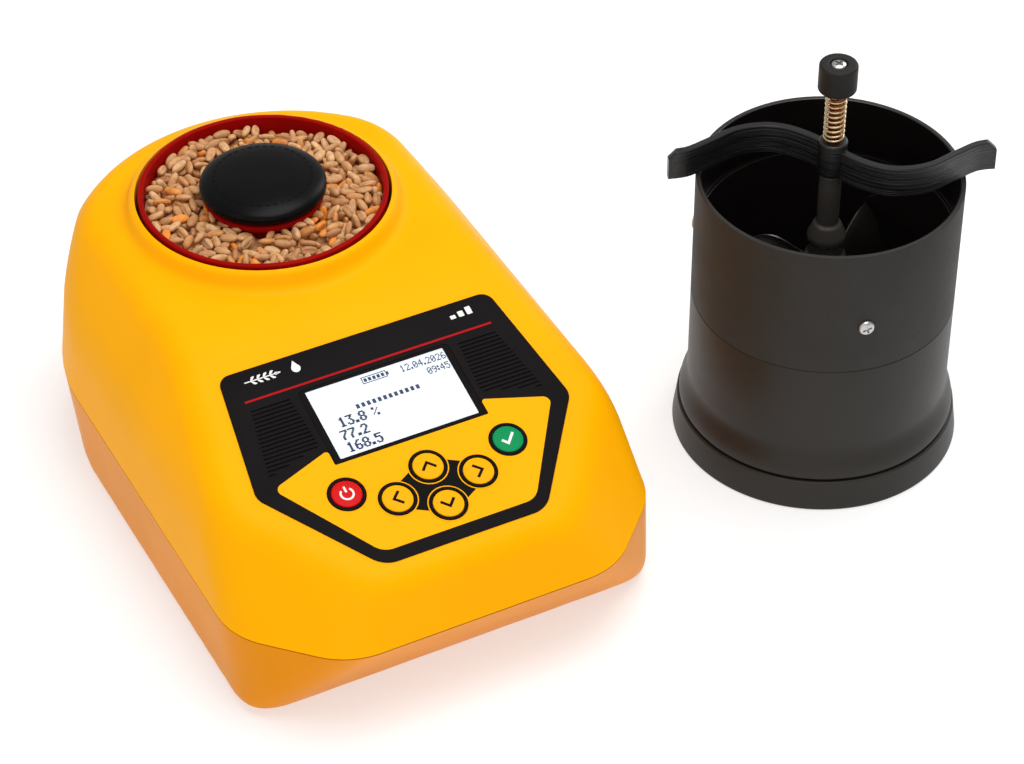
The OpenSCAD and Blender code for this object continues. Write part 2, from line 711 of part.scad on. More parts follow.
base_shell();
top_shell();
seam_gasket();
rubber_feet();
case_screws();
battery_door();
door_pin();
battery_cells();
battery_holder();
battery_contacts();
main_board();
board_screws();
buzzer();
usb_socket();
socket_board();
keypad_board();
dome_switches();
lcd_module();
lcd_glass();
display_window();
panel_overlay();
power_key();
ok_key();
up_key();
down_key();
left_key();
right_key();
vessel_cup();
vessel_post();
vessel_knob();
post_screw();
vessel_well();
load_platform();
load_cell();
load_cell_bracket();
load_cell_screws();
temperature_sensor();
contact_pins();
base_ring();
hopper_body();
valve_seat();
hopper_sleeve();
sleeve_screws();
bearing_spider();
rod_bush();
bridge_handle();
wiper_rotor();
retaining_ring();
return_spring();
push_rod();
press_knob();
press_knob_screw();
valve_plate();
valve_nut();
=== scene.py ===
import json
import math
import random

import bmesh
import bpy
import numpy as np
from mathutils import Matrix, Vector


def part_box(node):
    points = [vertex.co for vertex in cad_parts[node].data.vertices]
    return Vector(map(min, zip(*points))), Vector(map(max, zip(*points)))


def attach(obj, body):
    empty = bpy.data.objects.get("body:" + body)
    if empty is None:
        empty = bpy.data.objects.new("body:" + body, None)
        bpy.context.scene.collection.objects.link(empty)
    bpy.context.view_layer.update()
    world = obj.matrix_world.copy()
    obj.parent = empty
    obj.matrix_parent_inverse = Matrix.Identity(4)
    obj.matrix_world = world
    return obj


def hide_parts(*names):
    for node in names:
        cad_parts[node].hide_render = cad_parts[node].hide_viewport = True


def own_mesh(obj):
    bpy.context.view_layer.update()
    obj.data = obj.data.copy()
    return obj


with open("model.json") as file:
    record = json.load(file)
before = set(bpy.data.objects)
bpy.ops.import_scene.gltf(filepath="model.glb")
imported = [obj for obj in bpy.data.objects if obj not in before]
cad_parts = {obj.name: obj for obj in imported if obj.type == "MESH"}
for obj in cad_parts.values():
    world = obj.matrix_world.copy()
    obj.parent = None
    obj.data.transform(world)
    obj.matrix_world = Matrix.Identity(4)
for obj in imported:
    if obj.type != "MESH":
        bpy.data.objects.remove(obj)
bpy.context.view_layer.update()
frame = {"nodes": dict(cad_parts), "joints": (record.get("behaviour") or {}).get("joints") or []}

MM = 0.001


# ---- places from the frame

def box_mm(node):
    """Lowest and highest corners of a CAD node, in millimetres."""
    low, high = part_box(node)
    return np.array(low) / MM, np.array(high) / MM


def joint(name):
    return next(j for j in frame["joints"] if j["name"] == name)


cup_low, cup_high = box_mm("vessel_cup")
METER = (cup_low + cup_high) / 2
METER[2] = 0
ring_low, ring_high = box_mm("base_ring")
HOPPER = (ring_low + ring_high) / 2
HOPPER[2] = 0

RIM_Z = cup_high[2]
RIM_R = (cup_high[0] - cup_low[0]) / 2
CASE_R = (box_mm("top_shell")[1][0] - box_mm("top_shell")[0][0]) / 2
PARTING = (box_mm("top_shell")[0][2] + box_mm("base_shell")[1][2]) / 2
FRONT = METER[1] - box_mm("top_shell")[0][1]
FLOOR_Z = box_mm("base_shell")[0][2]

# The deck: its normal is the keys' press axis turned round, its origin is between the keys
press = joint("power_key_press")["axis"]
DECK_SLOPE = math.atan2(press[1], -press[2])
DECK_Y = -149.24
DECK_Z = 70.24
PLATEAU = 95.5
OVERLAY_TOP = 0.4
KEYS = {
    "power_key": (-32.34, 8.52),
    "ok_key": (32.34, 8.52),
    "up_key": (0.0, 8.57),
    "down_key": (0.0, -8.57),
    "left_key": (-16.18, 0.0),
    "right_key": (16.18, 0.0),
}
DECK = (
    Matrix.Translation(Vector((METER[0], METER[1] + DECK_Y, DECK_Z)) * MM)
    @ Matrix.Rotation(DECK_SLOPE, 4, "X")
    @ Matrix.Scale(MM, 4)
)
AT_METER = Matrix.Translation(Vector(METER) * MM) @ Matrix.Scale(MM, 4)
AT_HOPPER = Matrix.Translation(Vector(HOPPER) * MM) @ Matrix.Scale(MM, 4)
HANDLE_TURN = -28
ROD_BORE = 2.56


# ---- materials

class Shader:
    """A principled material with helpers for its noise, colour and bump nodes."""

    def __init__(self, name, rough=0.5, metal=0.0, coat=0.0, coat_rough=0.1, specular=0.5):
        self.mat = bpy.data.materials.new(name)
        self.mat.use_nodes = True
        self.tree = self.mat.node_tree
        self.bsdf = self.tree.nodes["Principled BSDF"]
        self.set(Roughness=rough, Metallic=metal, Coat_Weight=coat, Coat_Roughness=coat_rough)
        self.set(IOR=1.45, Specular_IOR_Level=specular)
        self.coord = self.tree.nodes.new("ShaderNodeTexCoord").outputs["Object"]

    def set(self, **values):
        for key, value in values.items():
            self.bsdf.inputs[key.replace("_", " ")].default_value = value

    def node(self, kind, **inputs):
        made = self.tree.nodes.new(kind)
        for key, value in inputs.items():
            socket = made.inputs[key.replace("_", " ")]
            if isinstance(value, bpy.types.NodeSocket):
                self.tree.links.new(value, socket)
            else:
                socket.default_value = value
        return made

    def stretched(self, x=1.0, y=1.0, z=1.0):
        return self.node("ShaderNodeMapping", Vector=self.coord, Scale=(x, y, z)).outputs[0]

    def noise(self, scale, detail=3.0, rough=0.5, vector=None):
        place = vector or self.coord
        made = self.node("ShaderNodeTexNoise", Vector=place, Scale=scale, Detail=detail, Roughness=rough)
        return made.outputs["Fac"]

    def ramp(self, fac, stops):
        made = self.node("ShaderNodeValToRGB", Fac=fac)
        ramp = made.color_ramp
        while len(ramp.elements) < len(stops):
            ramp.elements.new(0.5)
        for element, (place, colour) in zip(ramp.elements, stops):
            element.position = place
            element.color = (*colour, 1.0)
        return made.outputs["Color"]

    def colour(self, socket):
        self.tree.links.new(socket, self.bsdf.inputs["Base Color"])

    def rough(self, fac, low, high):
        made = self.node("ShaderNodeMapRange", Value=fac, To_Min=low, To_Max=high)
        self.tree.links.new(made.outputs[0], self.bsdf.inputs["Roughness"])

    def bump(self, height, strength, distance, below=None):
        made = self.node("ShaderNodeBump", Height=height, Strength=strength, Distance=distance)
        if below:
            self.tree.links.new(below, made.inputs["Normal"])
        self.tree.links.new(made.outputs[0], self.bsdf.inputs["Normal"])
        return made.outputs[0]


def linear(r, g, b):
    """A colour given as 0-255 screen values."""
    return tuple((c / 255 / 12.92) if c < 11 else ((c / 255 + 0.055) / 1.055) ** 2.4 for c in (r, g, b))


def shade(colour, k):
    return tuple(c * k for c in colour)


def plastic(name, rgb, rough=0.4, grain=2600, depth=0.00004, vary=0.05, strength=0.3, specular=0.5, coat=0.0):
    """Moulded plastic: a slow drift in tone, a fine moulded grain, faint handling marks in the gloss."""
    s = Shader(name, rough=rough, coat=coat, coat_rough=0.2, specular=specular)
    base = linear(*rgb)
    s.colour(s.ramp(s.noise(28, 4), [(0.3, shade(base, 1 - vary)), (0.7, shade(base, 1 + vary))]))
    s.rough(s.noise(70, 5, 0.65), rough - 0.05, rough + 0.07)
    soft = s.bump(s.noise(240, 2), 0.12, 0.00008)
    s.bump(s.noise(grain, 2), strength, depth, soft)
    return s.mat


def metal(name, rgb, rough=0.3, brushed=(1.0, 1.0, 1.0), scale=1500):
    """Metal with fine machining or drawing marks along one direction."""
    s = Shader(name, rough=rough, metal=1.0)
    base = linear(*rgb)
    marks = s.noise(scale, 3, 0.6, s.stretched(*brushed))
    s.colour(s.ramp(marks, [(0.3, shade(base, 0.86)), (0.7, base)]))
    s.rough(marks, rough - 0.08, rough + 0.12)
    s.bump(marks, 0.15, 0.00003)
    return s.mat


def anodised_red():
    """Red anodised metal with faint turning lines."""
    s = Shader("red_anodised", rough=0.32, specular=0.03)
    base = linear(152, 11, 7)
    s.colour(s.ramp(s.noise(60, 3), [(0.3, shade(base, 0.88)), (0.7, shade(base, 1.1))]))
    s.rough(s.noise(900, 3, 0.6, s.stretched(1, 1, 12)), 0.26, 0.4)
    s.bump(s.noise(1800, 2, 0.5, s.stretched(1, 1, 9)), 0.12, 0.00003)
    return s.mat


def sleeve_texture():
    """The upper sleeve's finely textured skin, like eroded or printed plastic."""
    s = Shader("sleeve_textured", rough=0.62, specular=0.38)
    fine = s.noise(3800, 4, 0.7)
    tones = [(0.35, linear(27, 24, 21)), (0.62, linear(43, 39, 35)), (0.75, linear(56, 51, 46))]
    s.colour(s.ramp(fine, tones))
    s.rough(s.noise(60, 3), 0.55, 0.72)
    soft = s.bump(s.noise(900, 3, 0.6), 0.35, 0.00012)
    s.bump(fine, 0.6, 0.00009, soft)
    return s.mat


def layered_plastic():
    """Plastic built up in thin level layers."""
    s = Shader("layered_black", rough=0.3, specular=0.6)
    lines = s.noise(1.0, 2, 0.5, s.stretched(30, 30, 3400))
    s.colour(s.ramp(lines, [(0.3, linear(9, 8, 8)), (0.7, linear(26, 24, 24))]))
    s.rough(lines, 0.2, 0.42)
    s.bump(lines, 0.8, 0.00025)
    return s.mat


def wheat():
    """Kernels differ in tone one by one, with a faint patchy drift in tone and a fine bump."""
    s = Shader("wheat_kernel", rough=0.55)
    each = s.tree.nodes.new("ShaderNodeNewGeometry").outputs["Random Per Island"]
    tone = s.ramp(each, [
        (0.0, linear(176, 122, 78)), (0.28, linear(202, 154, 106)), (0.5, linear(188, 138, 92)),
        (0.72, linear(214, 172, 126)), (0.9, linear(196, 134, 72)), (0.97, linear(226, 138, 44)),
    ])
    patch = s.ramp(s.noise(420, 4, 0.6), [(0.3, (0.8, 0.73, 0.66)), (0.65, (1.24, 1.22, 1.17))])
    mix = s.node("ShaderNodeMix")
    mix.data_type = "RGBA"
    mix.blend_type = "MULTIPLY"
    mix.inputs["Factor"].default_value = 1.0
    s.tree.links.new(tone, mix.inputs[6])
    s.tree.links.new(patch, mix.inputs[7])
    s.colour(mix.outputs[2])
    s.rough(s.noise(900, 3), 0.45, 0.68)
    s.bump(s.noise(1700, 3, 0.6), 0.4, 0.00012)
    s.set(Subsurface_Weight=0.12, Subsurface_Radius=(0.0012, 0.0007, 0.0004))
    return s.mat


def lcd_face():
    """The pale, faintly lit face of the display."""
    s = Shader("lcd_face", rough=0.3)
    s.colour(s.ramp(s.noise(35, 2), [(0.3, linear(214, 222, 233)), (0.7, linear(226, 232, 240))]))
    s.bump(s.noise(2200, 1), 0.05, 0.00002)
    s.set(Emission_Color=(0.86, 0.92, 1.0, 1.0), Emission_Strength=0.12)
    return s.mat


def clear_window():
    s = Shader("clear_window", rough=0.04)
    s.set(Transmission_Weight=1.0)
    s.colour(s.ramp(s.noise(20, 1), [(0.0, (0.97, 0.98, 1.0)), (1.0, (1.0, 1.0, 1.0))]))
    s.rough(s.noise(300, 2), 0.02, 0.06)
    return s.mat


def board_green():
    s = Shader("solder_mask", rough=0.35, coat=0.4)
    tracks = s.noise(500, 2, 0.3, s.stretched(1, 4, 1))
    s.colour(s.ramp(tracks, [(0.48, linear(12, 70, 36)), (0.52, linear(24, 98, 52))]))
    s.bump(tracks, 0.3, 0.00005)
    return s.mat


def rubber(name, rgb):
    s = Shader(name, rough=0.75, specular=0.3)
    base = linear(*rgb)
    s.colour(s.ramp(s.noise(180, 4), [(0.3, shade(base, 0.8)), (0.7, shade(base, 1.3))]))
    s.rough(s.noise(500, 3), 0.65, 0.85)
    s.bump(s.noise(2400, 3), 0.4, 0.00006)
    return s.mat


# Plain moulded and printed finishes: colour, roughness, gloss level, then what else sets them apart
PLASTICS = {
    "case_top": ((255, 174, 0), 0.4, 0.05, {"vary": 0.025, "strength": 0.2}),
    "case_base": ((230, 141, 0), 0.38, 0.12, {"vary": 0.03, "strength": 0.2}),
    "panel": ((22, 19, 20), 0.5, 0.04, {"grain": 3200, "vary": 0.08}),
    "print_yellow": ((255, 175, 0), 0.42, 0.05, {"grain": 3200, "vary": 0.02}),
    "print_black": ((12, 7, 6), 0.4, 0.05, {"grain": 3200, "vary": 0.1}),
    "print_white": ((232, 232, 228), 0.45, 0.5, {"grain": 3200, "vary": 0.03}),
    "print_red": ((178, 14, 18), 0.4, 0.05, {"grain": 3200, "vary": 0.05}),
    "key_red": ((206, 12, 12), 0.34, 0.08, {"vary": 0.04}),
    "key_green": ((0, 138, 80), 0.34, 0.08, {"vary": 0.04}),
    "key_yellow": ((255, 173, 0), 0.4, 0.06, {"vary": 0.02}),
    "knob_black": ((8, 7, 8), 0.3, 0.11, {"grain": 3000, "vary": 0.15}),
    "small_knob": ((30, 27, 25), 0.55, 0.25, {"grain": 2600, "vary": 0.12}),
    "hopper_black": ((36, 32, 27), 0.42, 0.34, {"grain": 2200, "vary": 0.1}),
    "hopper_inner": ((20, 16, 15), 0.2, 0.6, {"grain": 1800, "vary": 0.15, "strength": 0.12}),
    # the rotor post is the same black plastic as its blades; its lighter grey colour is painted light, for
    # the soft highlight it catches inside the hopper
    "post_painted_light": ((62, 58, 54), 0.24, 0.7, {"grain": 2600, "depth": 0.00001, "vary": 0.06, "strength": 0.1}),
    "blade_gloss": ((30, 26, 24), 0.22, 0.9, {"depth": 0.00001, "vary": 0.1, "strength": 0.1}),
    "black_plastic": ((26, 26, 26), 0.55, 0.5, {"vary": 0.12}),
    "lcd_ink": ((22, 44, 78), 0.5, 0.5, {"vary": 0.1}),
    "cells": ((52, 58, 66), 0.3, 0.5, {"vary": 0.2, "coat": 0.5}),
}
M = {
    key: plastic(key, rgb, rough, specular=gloss, **more)
    for key, (rgb, rough, gloss, more) in PLASTICS.items()
}
M.update({
    "vessel_red": anodised_red(),
    "rod_bronze": metal("rod_bronze", (186, 112, 52), rough=0.3, brushed=(1, 1, 14)),
    "sleeve_black": sleeve_texture(),
    "layered": layered_plastic(),
    "rubber_black": rubber("rubber_black", (18, 17, 16)),
    "steel": metal("steel_plated", (196, 196, 194), rough=0.28),
    "spring_steel": metal("nickel_plate", (204, 200, 188), rough=0.25),
    "aluminium": metal("milled_aluminium", (205, 207, 210), rough=0.35, brushed=(1, 14, 1)),
    "gold": metal("gold_plate", (226, 184, 96), rough=0.22),
    "brass": metal("turned_brass", (150, 106, 52), rough=0.3, brushed=(1, 1, 14)),
    "bronze": metal("spring_wire", (222, 198, 158), rough=0.2),
    "grain": wheat(),
    "lcd": lcd_face(),
    "window": clear_window(),
    "board": board_green(),
})


# ---- mesh helpers

def turned(degrees, axis="Z"):
    return Matrix.Rotation(math.radians(degrees), 4, axis)


def link(name, data):
    """A new object in the scene."""
    obj = bpy.data.objects.new(name, data)
    bpy.context.scene.collection.objects.link(obj)
    return obj


def shade_round(mesh, angle):
    """Smooth shading, with edges sharper than the angle kept crisp."""
    mesh.shade_smooth()
    mesh.set_sharp_from_angle(angle=math.radians(angle))


def add(name, mesh_data, body, material, replaces=(), smooth=35):
    """Makes a mesh a piece of the object: its body, finish and the CAD nodes it stands for."""
    obj = link(name, mesh_data)
    mesh_data.materials.clear()
    for m in material if isinstance(material, (list, tuple)) else [material]:
        mesh_data.materials.append(m)
    if smooth:
        shade_round(mesh_data, smooth)
    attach(obj, body)
    if replaces:
        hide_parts(*replaces)
    return obj


def band(bm, low, high):
    """Faces between two closed loops of points."""
    n = len(low)
    for k in range(n):
        bm.faces.new([low[k], low[(k + 1) % n], high[(k + 1) % n], high[k]])


def slab(at, cols, rows, place):
    """A thin closed sheet: at(side, c, k) gives the points of its two faces."""
    bm = bmesh.new()
    spots = [(side, c, k) for side in (-1, 1) for k in range(rows + 1) for c in range(cols + 1)]
    grid = {spot: bm.verts.new(at(*spot)) for spot in spots}
    edge = [(c, 0) for c in range(cols)] + [(cols, k) for k in range(rows)]
    edge += [(c, rows) for c in range(cols, 0, -1)] + [(0, k) for k in range(rows, 0, -1)]
    band(bm, [grid[-1, c, k] for c, k in edge], [grid[1, c, k] for c, k in edge])
    for side in (-1, 1):
        for c in range(cols):
            for k in range(rows):
                bm.faces.new([grid[side, c + i, k + j] for i, j in ((0, 0), (1, 0), (1, 1), (0, 1))])
    return mesh_of(bm, place)


def mesh_of(bm, place=None):
    if place is not None:
        bm.transform(place)
    bmesh.ops.recalc_face_normals(bm, faces=bm.faces)
    mesh = bpy.data.meshes.new("piece")
    bm.to_mesh(mesh)
    bm.free()
    return mesh


def rounded(profile, radius, steps=4):
    """A closed (r, z) profile with every corner rounded, as far as its neighbours allow."""
    out = []
    n = len(profile)
    for i in range(n):
        a, b, c = (np.array(profile[(i + k) % n], float) for k in (-1, 0, 1))
        if b[0] <= 1e-6:
            out.append(tuple(b))
            continue
        la, lc = np.linalg.norm(a - b), np.linalg.norm(c - b)
        cut = min(radius, 0.45 * la, 0.45 * lc)
        p, q = b + (a - b) / la * cut, b + (c - b) / lc * cut
        for k in range(steps + 1):
            t = k / steps
            out.append(tuple((1 - t) ** 2 * p + 2 * t * (1 - t) * b + t * t * q))
    return out


def lathe_bm(profile, segments=128):
    """A body of revolution about Z from a closed (r, z) profile in millimetres."""
    bm = bmesh.new()
    rings = []
    for r, z in profile:
        if r <= 1e-6:
            rings.append([bm.verts.new((0, 0, z))] * segments)
            continue
        angles = [2 * math.pi * k / segments for k in range(segments)]
        rings.append([bm.verts.new((r * math.cos(a), r * math.sin(a), z)) for a in angles])
    for i in range(len(rings)):
        low, high = rings[i], rings[(i + 1) % len(rings)]
        for k in range(segments):
            corners = [low[k], low[(k + 1) % segments], high[(k + 1) % segments], high[k]]
            unique = list(dict.fromkeys(corners))
            if len(unique) > 2:
                bm.faces.new(unique)
    return bm


def lathe(profile, place, segments=128, radius=0.4, steps=3):
    return mesh_of(lathe_bm(rounded(profile, radius, steps), segments), place)


def flat_shape(loops, z, thick, place, bevel=0.0):
    """A flat plate from 2D outlines: the first loop is its edge, the others are holes."""
    curve = bpy.data.curves.new("shape", "CURVE")
    curve.dimensions = "2D"
    curve.fill_mode = "BOTH"
    for loop in loops:
        spline = curve.splines.new("POLY")
        spline.points.add(len(loop) - 1)
        for point, (x, y) in zip(spline.points, loop):
            point.co = (x, y, 0, 1)
        spline.use_cyclic_u = True
    curve.extrude = thick / 2 - bevel
    curve.bevel_depth = bevel
    curve.bevel_resolution = 2
    curve.offset = -bevel
    obj = link("shape", curve)
    mesh = bpy.data.meshes.new_from_object(obj.evaluated_get(bpy.context.evaluated_depsgraph_get()))
    bpy.data.objects.remove(obj)
    bm = bmesh.new()
    bm.from_mesh(mesh)
    bmesh.ops.remove_doubles(bm, verts=bm.verts, dist=1e-4)
    bm.transform(Matrix.Translation((0, 0, z)))
    return mesh_of(bm, place)


def circle(x, y, r, n=48):
    return [(x + r * math.cos(2 * math.pi * k / n), y + r * math.sin(2 * math.pi * k / n)) for k in range(n)]


def rounded_polygon(points, radii, steps=10):
    """A polygon with true arcs in its corners."""
    out = []
    n = len(points)
    for i in range(n):
        a, b, c = (Vector(points[(i + k) % n]) for k in (-1, 0, 1))
        r = radii[i] if isinstance(radii, (list, tuple)) else radii
        u, v = (a - b).normalized(), (c - b).normalized()
        half = math.acos(max(-1, min(1, u.dot(v)))) / 2
        reach = r / math.tan(half)
        centre = b + (u + v).normalized() * r / math.sin(half)
        p, q = b + u * reach - centre, b + v * reach - centre
        sweep = p.angle_signed(q)
        for k in range(steps + 1):
            turn = -sweep * k / steps
            out.append((
                centre.x + p.x * math.cos(turn) - p.y * math.sin(turn),
                centre.y + p.x * math.sin(turn) + p.y * math.cos(turn),
            ))
    return out


def mirror_x(points):
    return [(-x, y) for x, y in points]


def stroke(points, width):
    """The outline of a polyline drawn with a pen of that width, with mitred corners."""
    left, right = [], []
    for i, p in enumerate(points):
        p = Vector(p)
        before = (p - Vector(points[i - 1])).normalized() if i else None
        after = (Vector(points[i + 1]) - p).normalized() if i < len(points) - 1 else None
        d = ((before or after) + (after or before)).normalized()
        side = Vector((-d.y, d.x))
        along = after or before
        scale = width / 2 / max(0.3, side.dot(Vector((-along.y, along.x))))
        left.append(tuple(p + side * scale))
        right.append(tuple(p - side * scale))
    return left + right[::-1]


def join(meshes):
    bm = bmesh.new()
    for mesh in meshes:
        bm.from_mesh(mesh)
    return mesh_of(bm)


def cut(obj, tool_meshes):
    """Takes the tools' shapes out of a piece for good."""
    for mesh in tool_meshes:
        tool = link("tool", mesh)
        mod = obj.modifiers.new("cut", "BOOLEAN")
        mod.operation = "DIFFERENCE"
        mod.solver = "EXACT"
        mod.object = tool
        result = bpy.data.meshes.new_from_object(obj.evaluated_get(bpy.context.evaluated_depsgraph_get()))
        obj.modifiers.clear()
        old = obj.data
        obj.data = result
        bpy.data.meshes.remove(old)
        bpy.data.objects.remove(tool)


# ---- the case's form

def smooth_max(a, b, k):
    h = np.maximum(k - np.abs(a - b), 0) / k
    return np.maximum(a, b) + h * h * k / 4


def smooth_min(a, b, k):
    return -smooth_max(-a, -b, k)


def plane(p, normal, through):
    """Signed distance from a plane, positive outside."""
    n = np.array(normal, float)
    n /= np.linalg.norm(n)
    return (p - np.array(through, float)) @ n


DECK_FRONT = (-179.0, 61.9)
CREASE = 66.4
CHAMFER = 32


def wall(p, normal, through):
    """Level distance from a leaning wall: walls that meet at one height share one outline there."""
    n = np.array(normal, float)
    return (p - np.array(through, float)) @ n / math.hypot(n[0], n[1])


def spine(p, centre, radius):
    """Distance from the side and rear walls: straight along the sides, round about a centre at the rear."""
    return np.hypot(p[:, 0], np.maximum(p[:, 1] - centre, 0)) - radius


def joined(side, corner, front):
    """The side, corner and front walls, run into one another in soft edges."""
    return smooth_max(smooth_max(side, corner, 9.0), front, 9.0)


def upper_form(p, inset=0.0):
    """Distance from the upper shell's skin, with p in millimetres about the vessel's axis."""
    ax = np.abs(p[:, 0])
    z = p[:, 2]
    centre = np.interp(z, [PARTING, CREASE, 91.5], [-10.0, -10.5, -14.8])
    side = spine(p, centre, CASE_R - 0.101 * (z - PARTING) - 0.4 * np.maximum(z - 89, 0))
    facet = (ax - 63.6 + 0.66 * (z - PLATEAU)) / math.hypot(1, 0.66)
    q = np.column_stack([ax, p[:, 1], z])
    deck = plane(p, (0, -math.sin(DECK_SLOPE), math.cos(DECK_SLOPE)), (0, DECK_Y, DECK_Z))
    rise = DECK_FRONT[1] - PARTING
    run = FRONT + DECK_FRONT[0]
    front = wall(p, (0, -rise, run), (0, -FRONT, PARTING))
    corner = wall(q, (1, -1, 0.868), (CASE_R, -(FRONT - CHAMFER), PARTING))
    f = smooth_max(z - PLATEAU, deck, 4.0)
    f = smooth_max(f, facet, 6.5)
    return smooth_max(f, joined(side, corner, front), 5.5) + inset


def collar_form(p):
    """The raised collar round the vessel, meeting the plateau in a soft curve."""
    r = np.hypot(p[:, 0], p[:, 1])
    lean = math.atan2(2.9, 6.2)
    cone = (r - 50.9) * math.cos(lean) + (p[:, 2] - RIM_Z + 1.6) * math.sin(lean)
    collar = smooth_max(cone, p[:, 2] - (RIM_Z - 1.0), 1.8)
    return np.maximum(collar, PLATEAU - 12 - p[:, 2])


def lower_form(p, inset=0.0):
    """Distance from the base shell's skin, whose walls lean in towards the floor."""
    drop = PARTING - p[:, 2]
    side = spine(p, -10.0 - 0.208 * drop, CASE_R - 0.0564 * drop)
    q = np.column_stack([np.abs(p[:, 0]), p[:, 1], p[:, 2]])
    front = wall(p, (0, -1, -25.3 / 37.7), (0, -FRONT, PARTING))
    corner = wall(q, (1, -1, 0.1), (CASE_R, -(FRONT - CHAMFER), PARTING))
    return smooth_max(joined(side, corner, front), FLOOR_Z - p[:, 2], 3.0) + inset


def cast(form, centre, directions, far=260.0):
    """How far along each direction the form's skin lies from a point inside it."""
    low = np.zeros(len(directions))
    high = np.full(len(directions), far)
    for _ in range(34):
        mid = (low + high) / 2
        inside = form(centre + directions * mid[:, None]) < 0
        low = np.where(inside, mid, low)
        high = np.where(inside, high, mid)
    return centre + directions * low[:, None]


def shell_mesh(outer, inner, centre, up, around=400, rows=110, edge_z=0.0):
    """A closed shell: an outer skin and an inner skin, cast from one point and joined at the parting line."""
    bm = bmesh.new()
    loops = []
    for form in (outer, inner):
        theta = 2 * math.pi * np.arange(around) / around
        rings = []
        for row in range(rows):
            phi = (math.pi / 2) * row / rows
            level = np.full(around, up * math.sin(phi))
            d = np.column_stack([np.cos(theta) * math.cos(phi), np.sin(theta) * math.cos(phi), level])
            points = cast(form, centre, d)
            rings.append([bm.verts.new(p) for p in points])
        pole = bm.verts.new(cast(form, centre, np.array([[0.0, 0.0, float(up)]]))[0])
        for low, high in zip(rings, rings[1:]):
            band(bm, low, high)
        for k in range(around):
            bm.faces.new([rings[-1][k], rings[-1][(k + 1) % around], pole])
        loops.append(rings[0])
    band(bm, *loops)
    for loop in loops:
        for v in loop:
            v.co.z = edge_z
    return mesh_of(bm, AT_METER)


def prism(loop, z1, z2, place):
    """A straight solid on a 2D outline."""
    bm = bmesh.new()
    low = [bm.verts.new((x, y, z1)) for x, y in loop]
    high = [bm.verts.new((x, y, z2)) for x, y in loop]
    bm.faces.new(low)
    bm.faces.new(high[::-1])
    band(bm, low, high)
    return mesh_of(bm, place)


WALL = 2.6
LINE = 0.22
CASE_CENTRE = np.array([0.0, -52.0, PARTING])
WELL_R = (box_mm("vessel_well")[1][0] - box_mm("vessel_well")[0][0]) / 2 - 2.4
win_low, win_high = box_mm("display_window")
WINDOW_W = (win_high[0] - win_low[0]) / 2
WINDOW_V = (21.6, 55.8)
KEY_HOLE = 5.95
SCREW_HOLES = [(-52, 33), (52, 33), (-68, -122), (68, -122)]
FEET = [(-40, 42), (40, 42), (-64, -146), (64, -146)]

PANEL = [(54.9, 71.75), (63.1, 18.54), (32.3, -23.55)]
PANEL_LOOP = rounded_polygon(PANEL + mirror_x(PANEL)[::-1], [5.0, 7.0, 10.5, 10.5, 7.0, 5.0])


def window_loop(grow=0.0):
    w = WINDOW_W + grow
    v0, v1 = WINDOW_V[0] - grow, WINDOW_V[1] + grow
    return rounded_polygon([(w, v1), (w, v0), (-w, v0), (-w, v1)], 2.0, 5)


def make_top_shell():
    def outer(p):
        return smooth_min(upper_form(p), collar_form(p), 3.0)

    def inner(p):
        return upper_form(p, WALL)

    mesh = shell_mesh(outer, inner, CASE_CENTRE, 1, edge_z=PARTING + LINE)
    top = add("top_shell_skin", mesh, "case", M["case_top"], ["top_shell"])
    tools = [prism(circle(0, 0, WELL_R, 160), 60, 130, AT_METER)]
    tools.append(prism(PANEL_LOOP, OVERLAY_TOP - 1.0, 5, DECK))
    tools.append(prism(window_loop(0.2), -9, 5, DECK))
    for x, y in KEYS.values():
        tools.append(prism(circle(x, y, KEY_HOLE), -9, 5, DECK))
    cut(top, tools)
    shade_round(top.data, 38)


def make_base_shell():
    def inner(p):
        return lower_form(p, WALL)

    mesh = shell_mesh(lower_form, inner, CASE_CENTRE, -1, rows=90, edge_z=PARTING - LINE)
    base = add("base_shell_skin", mesh, "case", M["case_base"], ["base_shell"])
    door_low, door_high = box_mm("battery_door")
    gap = 0.4
    low = door_low - METER - gap
    high = door_high - METER + gap
    lid = [(low[0], low[1]), (high[0], low[1]), (high[0], high[1]), (low[0], high[1])]
    tools = [prism(lid, -1, 5.2, AT_METER)]
    for x, y in SCREW_HOLES:
        tools.append(prism(circle(x, y, 3.2, 32), -1, 8, AT_METER))
    for x, y in FEET:
        tools.append(prism(circle(x, y, 7.0, 48), -1, FLOOR_Z + 1, AT_METER))
    usb = rounded_polygon([(4.7, 23.4), (4.7, 19.8), (-4.7, 19.8), (-4.7, 23.4)], 1.5, 4)
    mouth = box_mm("usb_socket")[1][1] - METER[1]
    stand = Matrix.Translation((0, mouth + 8, 0)) @ turned(90, "X")
    tools.append(prism(usb, -4, 14, AT_METER @ stand))
    cut(base, tools)
    shade_round(base.data, 38)


def make_gasket():
    """The dark strip in the line between the shells, a little back from their skins."""
    around = 400
    theta = 2 * math.pi * np.arange(around) / around
    flat = np.column_stack([np.cos(theta), np.sin(theta), np.zeros(around)])
    bm = bmesh.new()
    rings = []
    for inset, side in ((0.3, -1), (0.3, 1), (2.3, 1), (2.3, -1)):
        points = cast(lambda p: lower_form(p, inset), CASE_CENTRE, flat)
        rings.append([bm.verts.new((p[0], p[1], PARTING + side * (LINE - 0.02))) for p in points])
    for low, high in zip(rings, rings[1:] + rings[:1]):
        band(bm, low, high)
    add("seam_strip", mesh_of(bm, AT_METER), "case", M["rubber_black"], ["seam_gasket"])


# ---- the panel

def bar(u, v, w, h, r=0.3):
    """A rectangle about (u, v) with rounded corners."""
    corners = [(u + i * w / 2, v + j * h / 2) for i, j in ((1, 1), (1, -1), (-1, -1), (-1, 1))]
    return rounded_polygon(corners, r, 3)


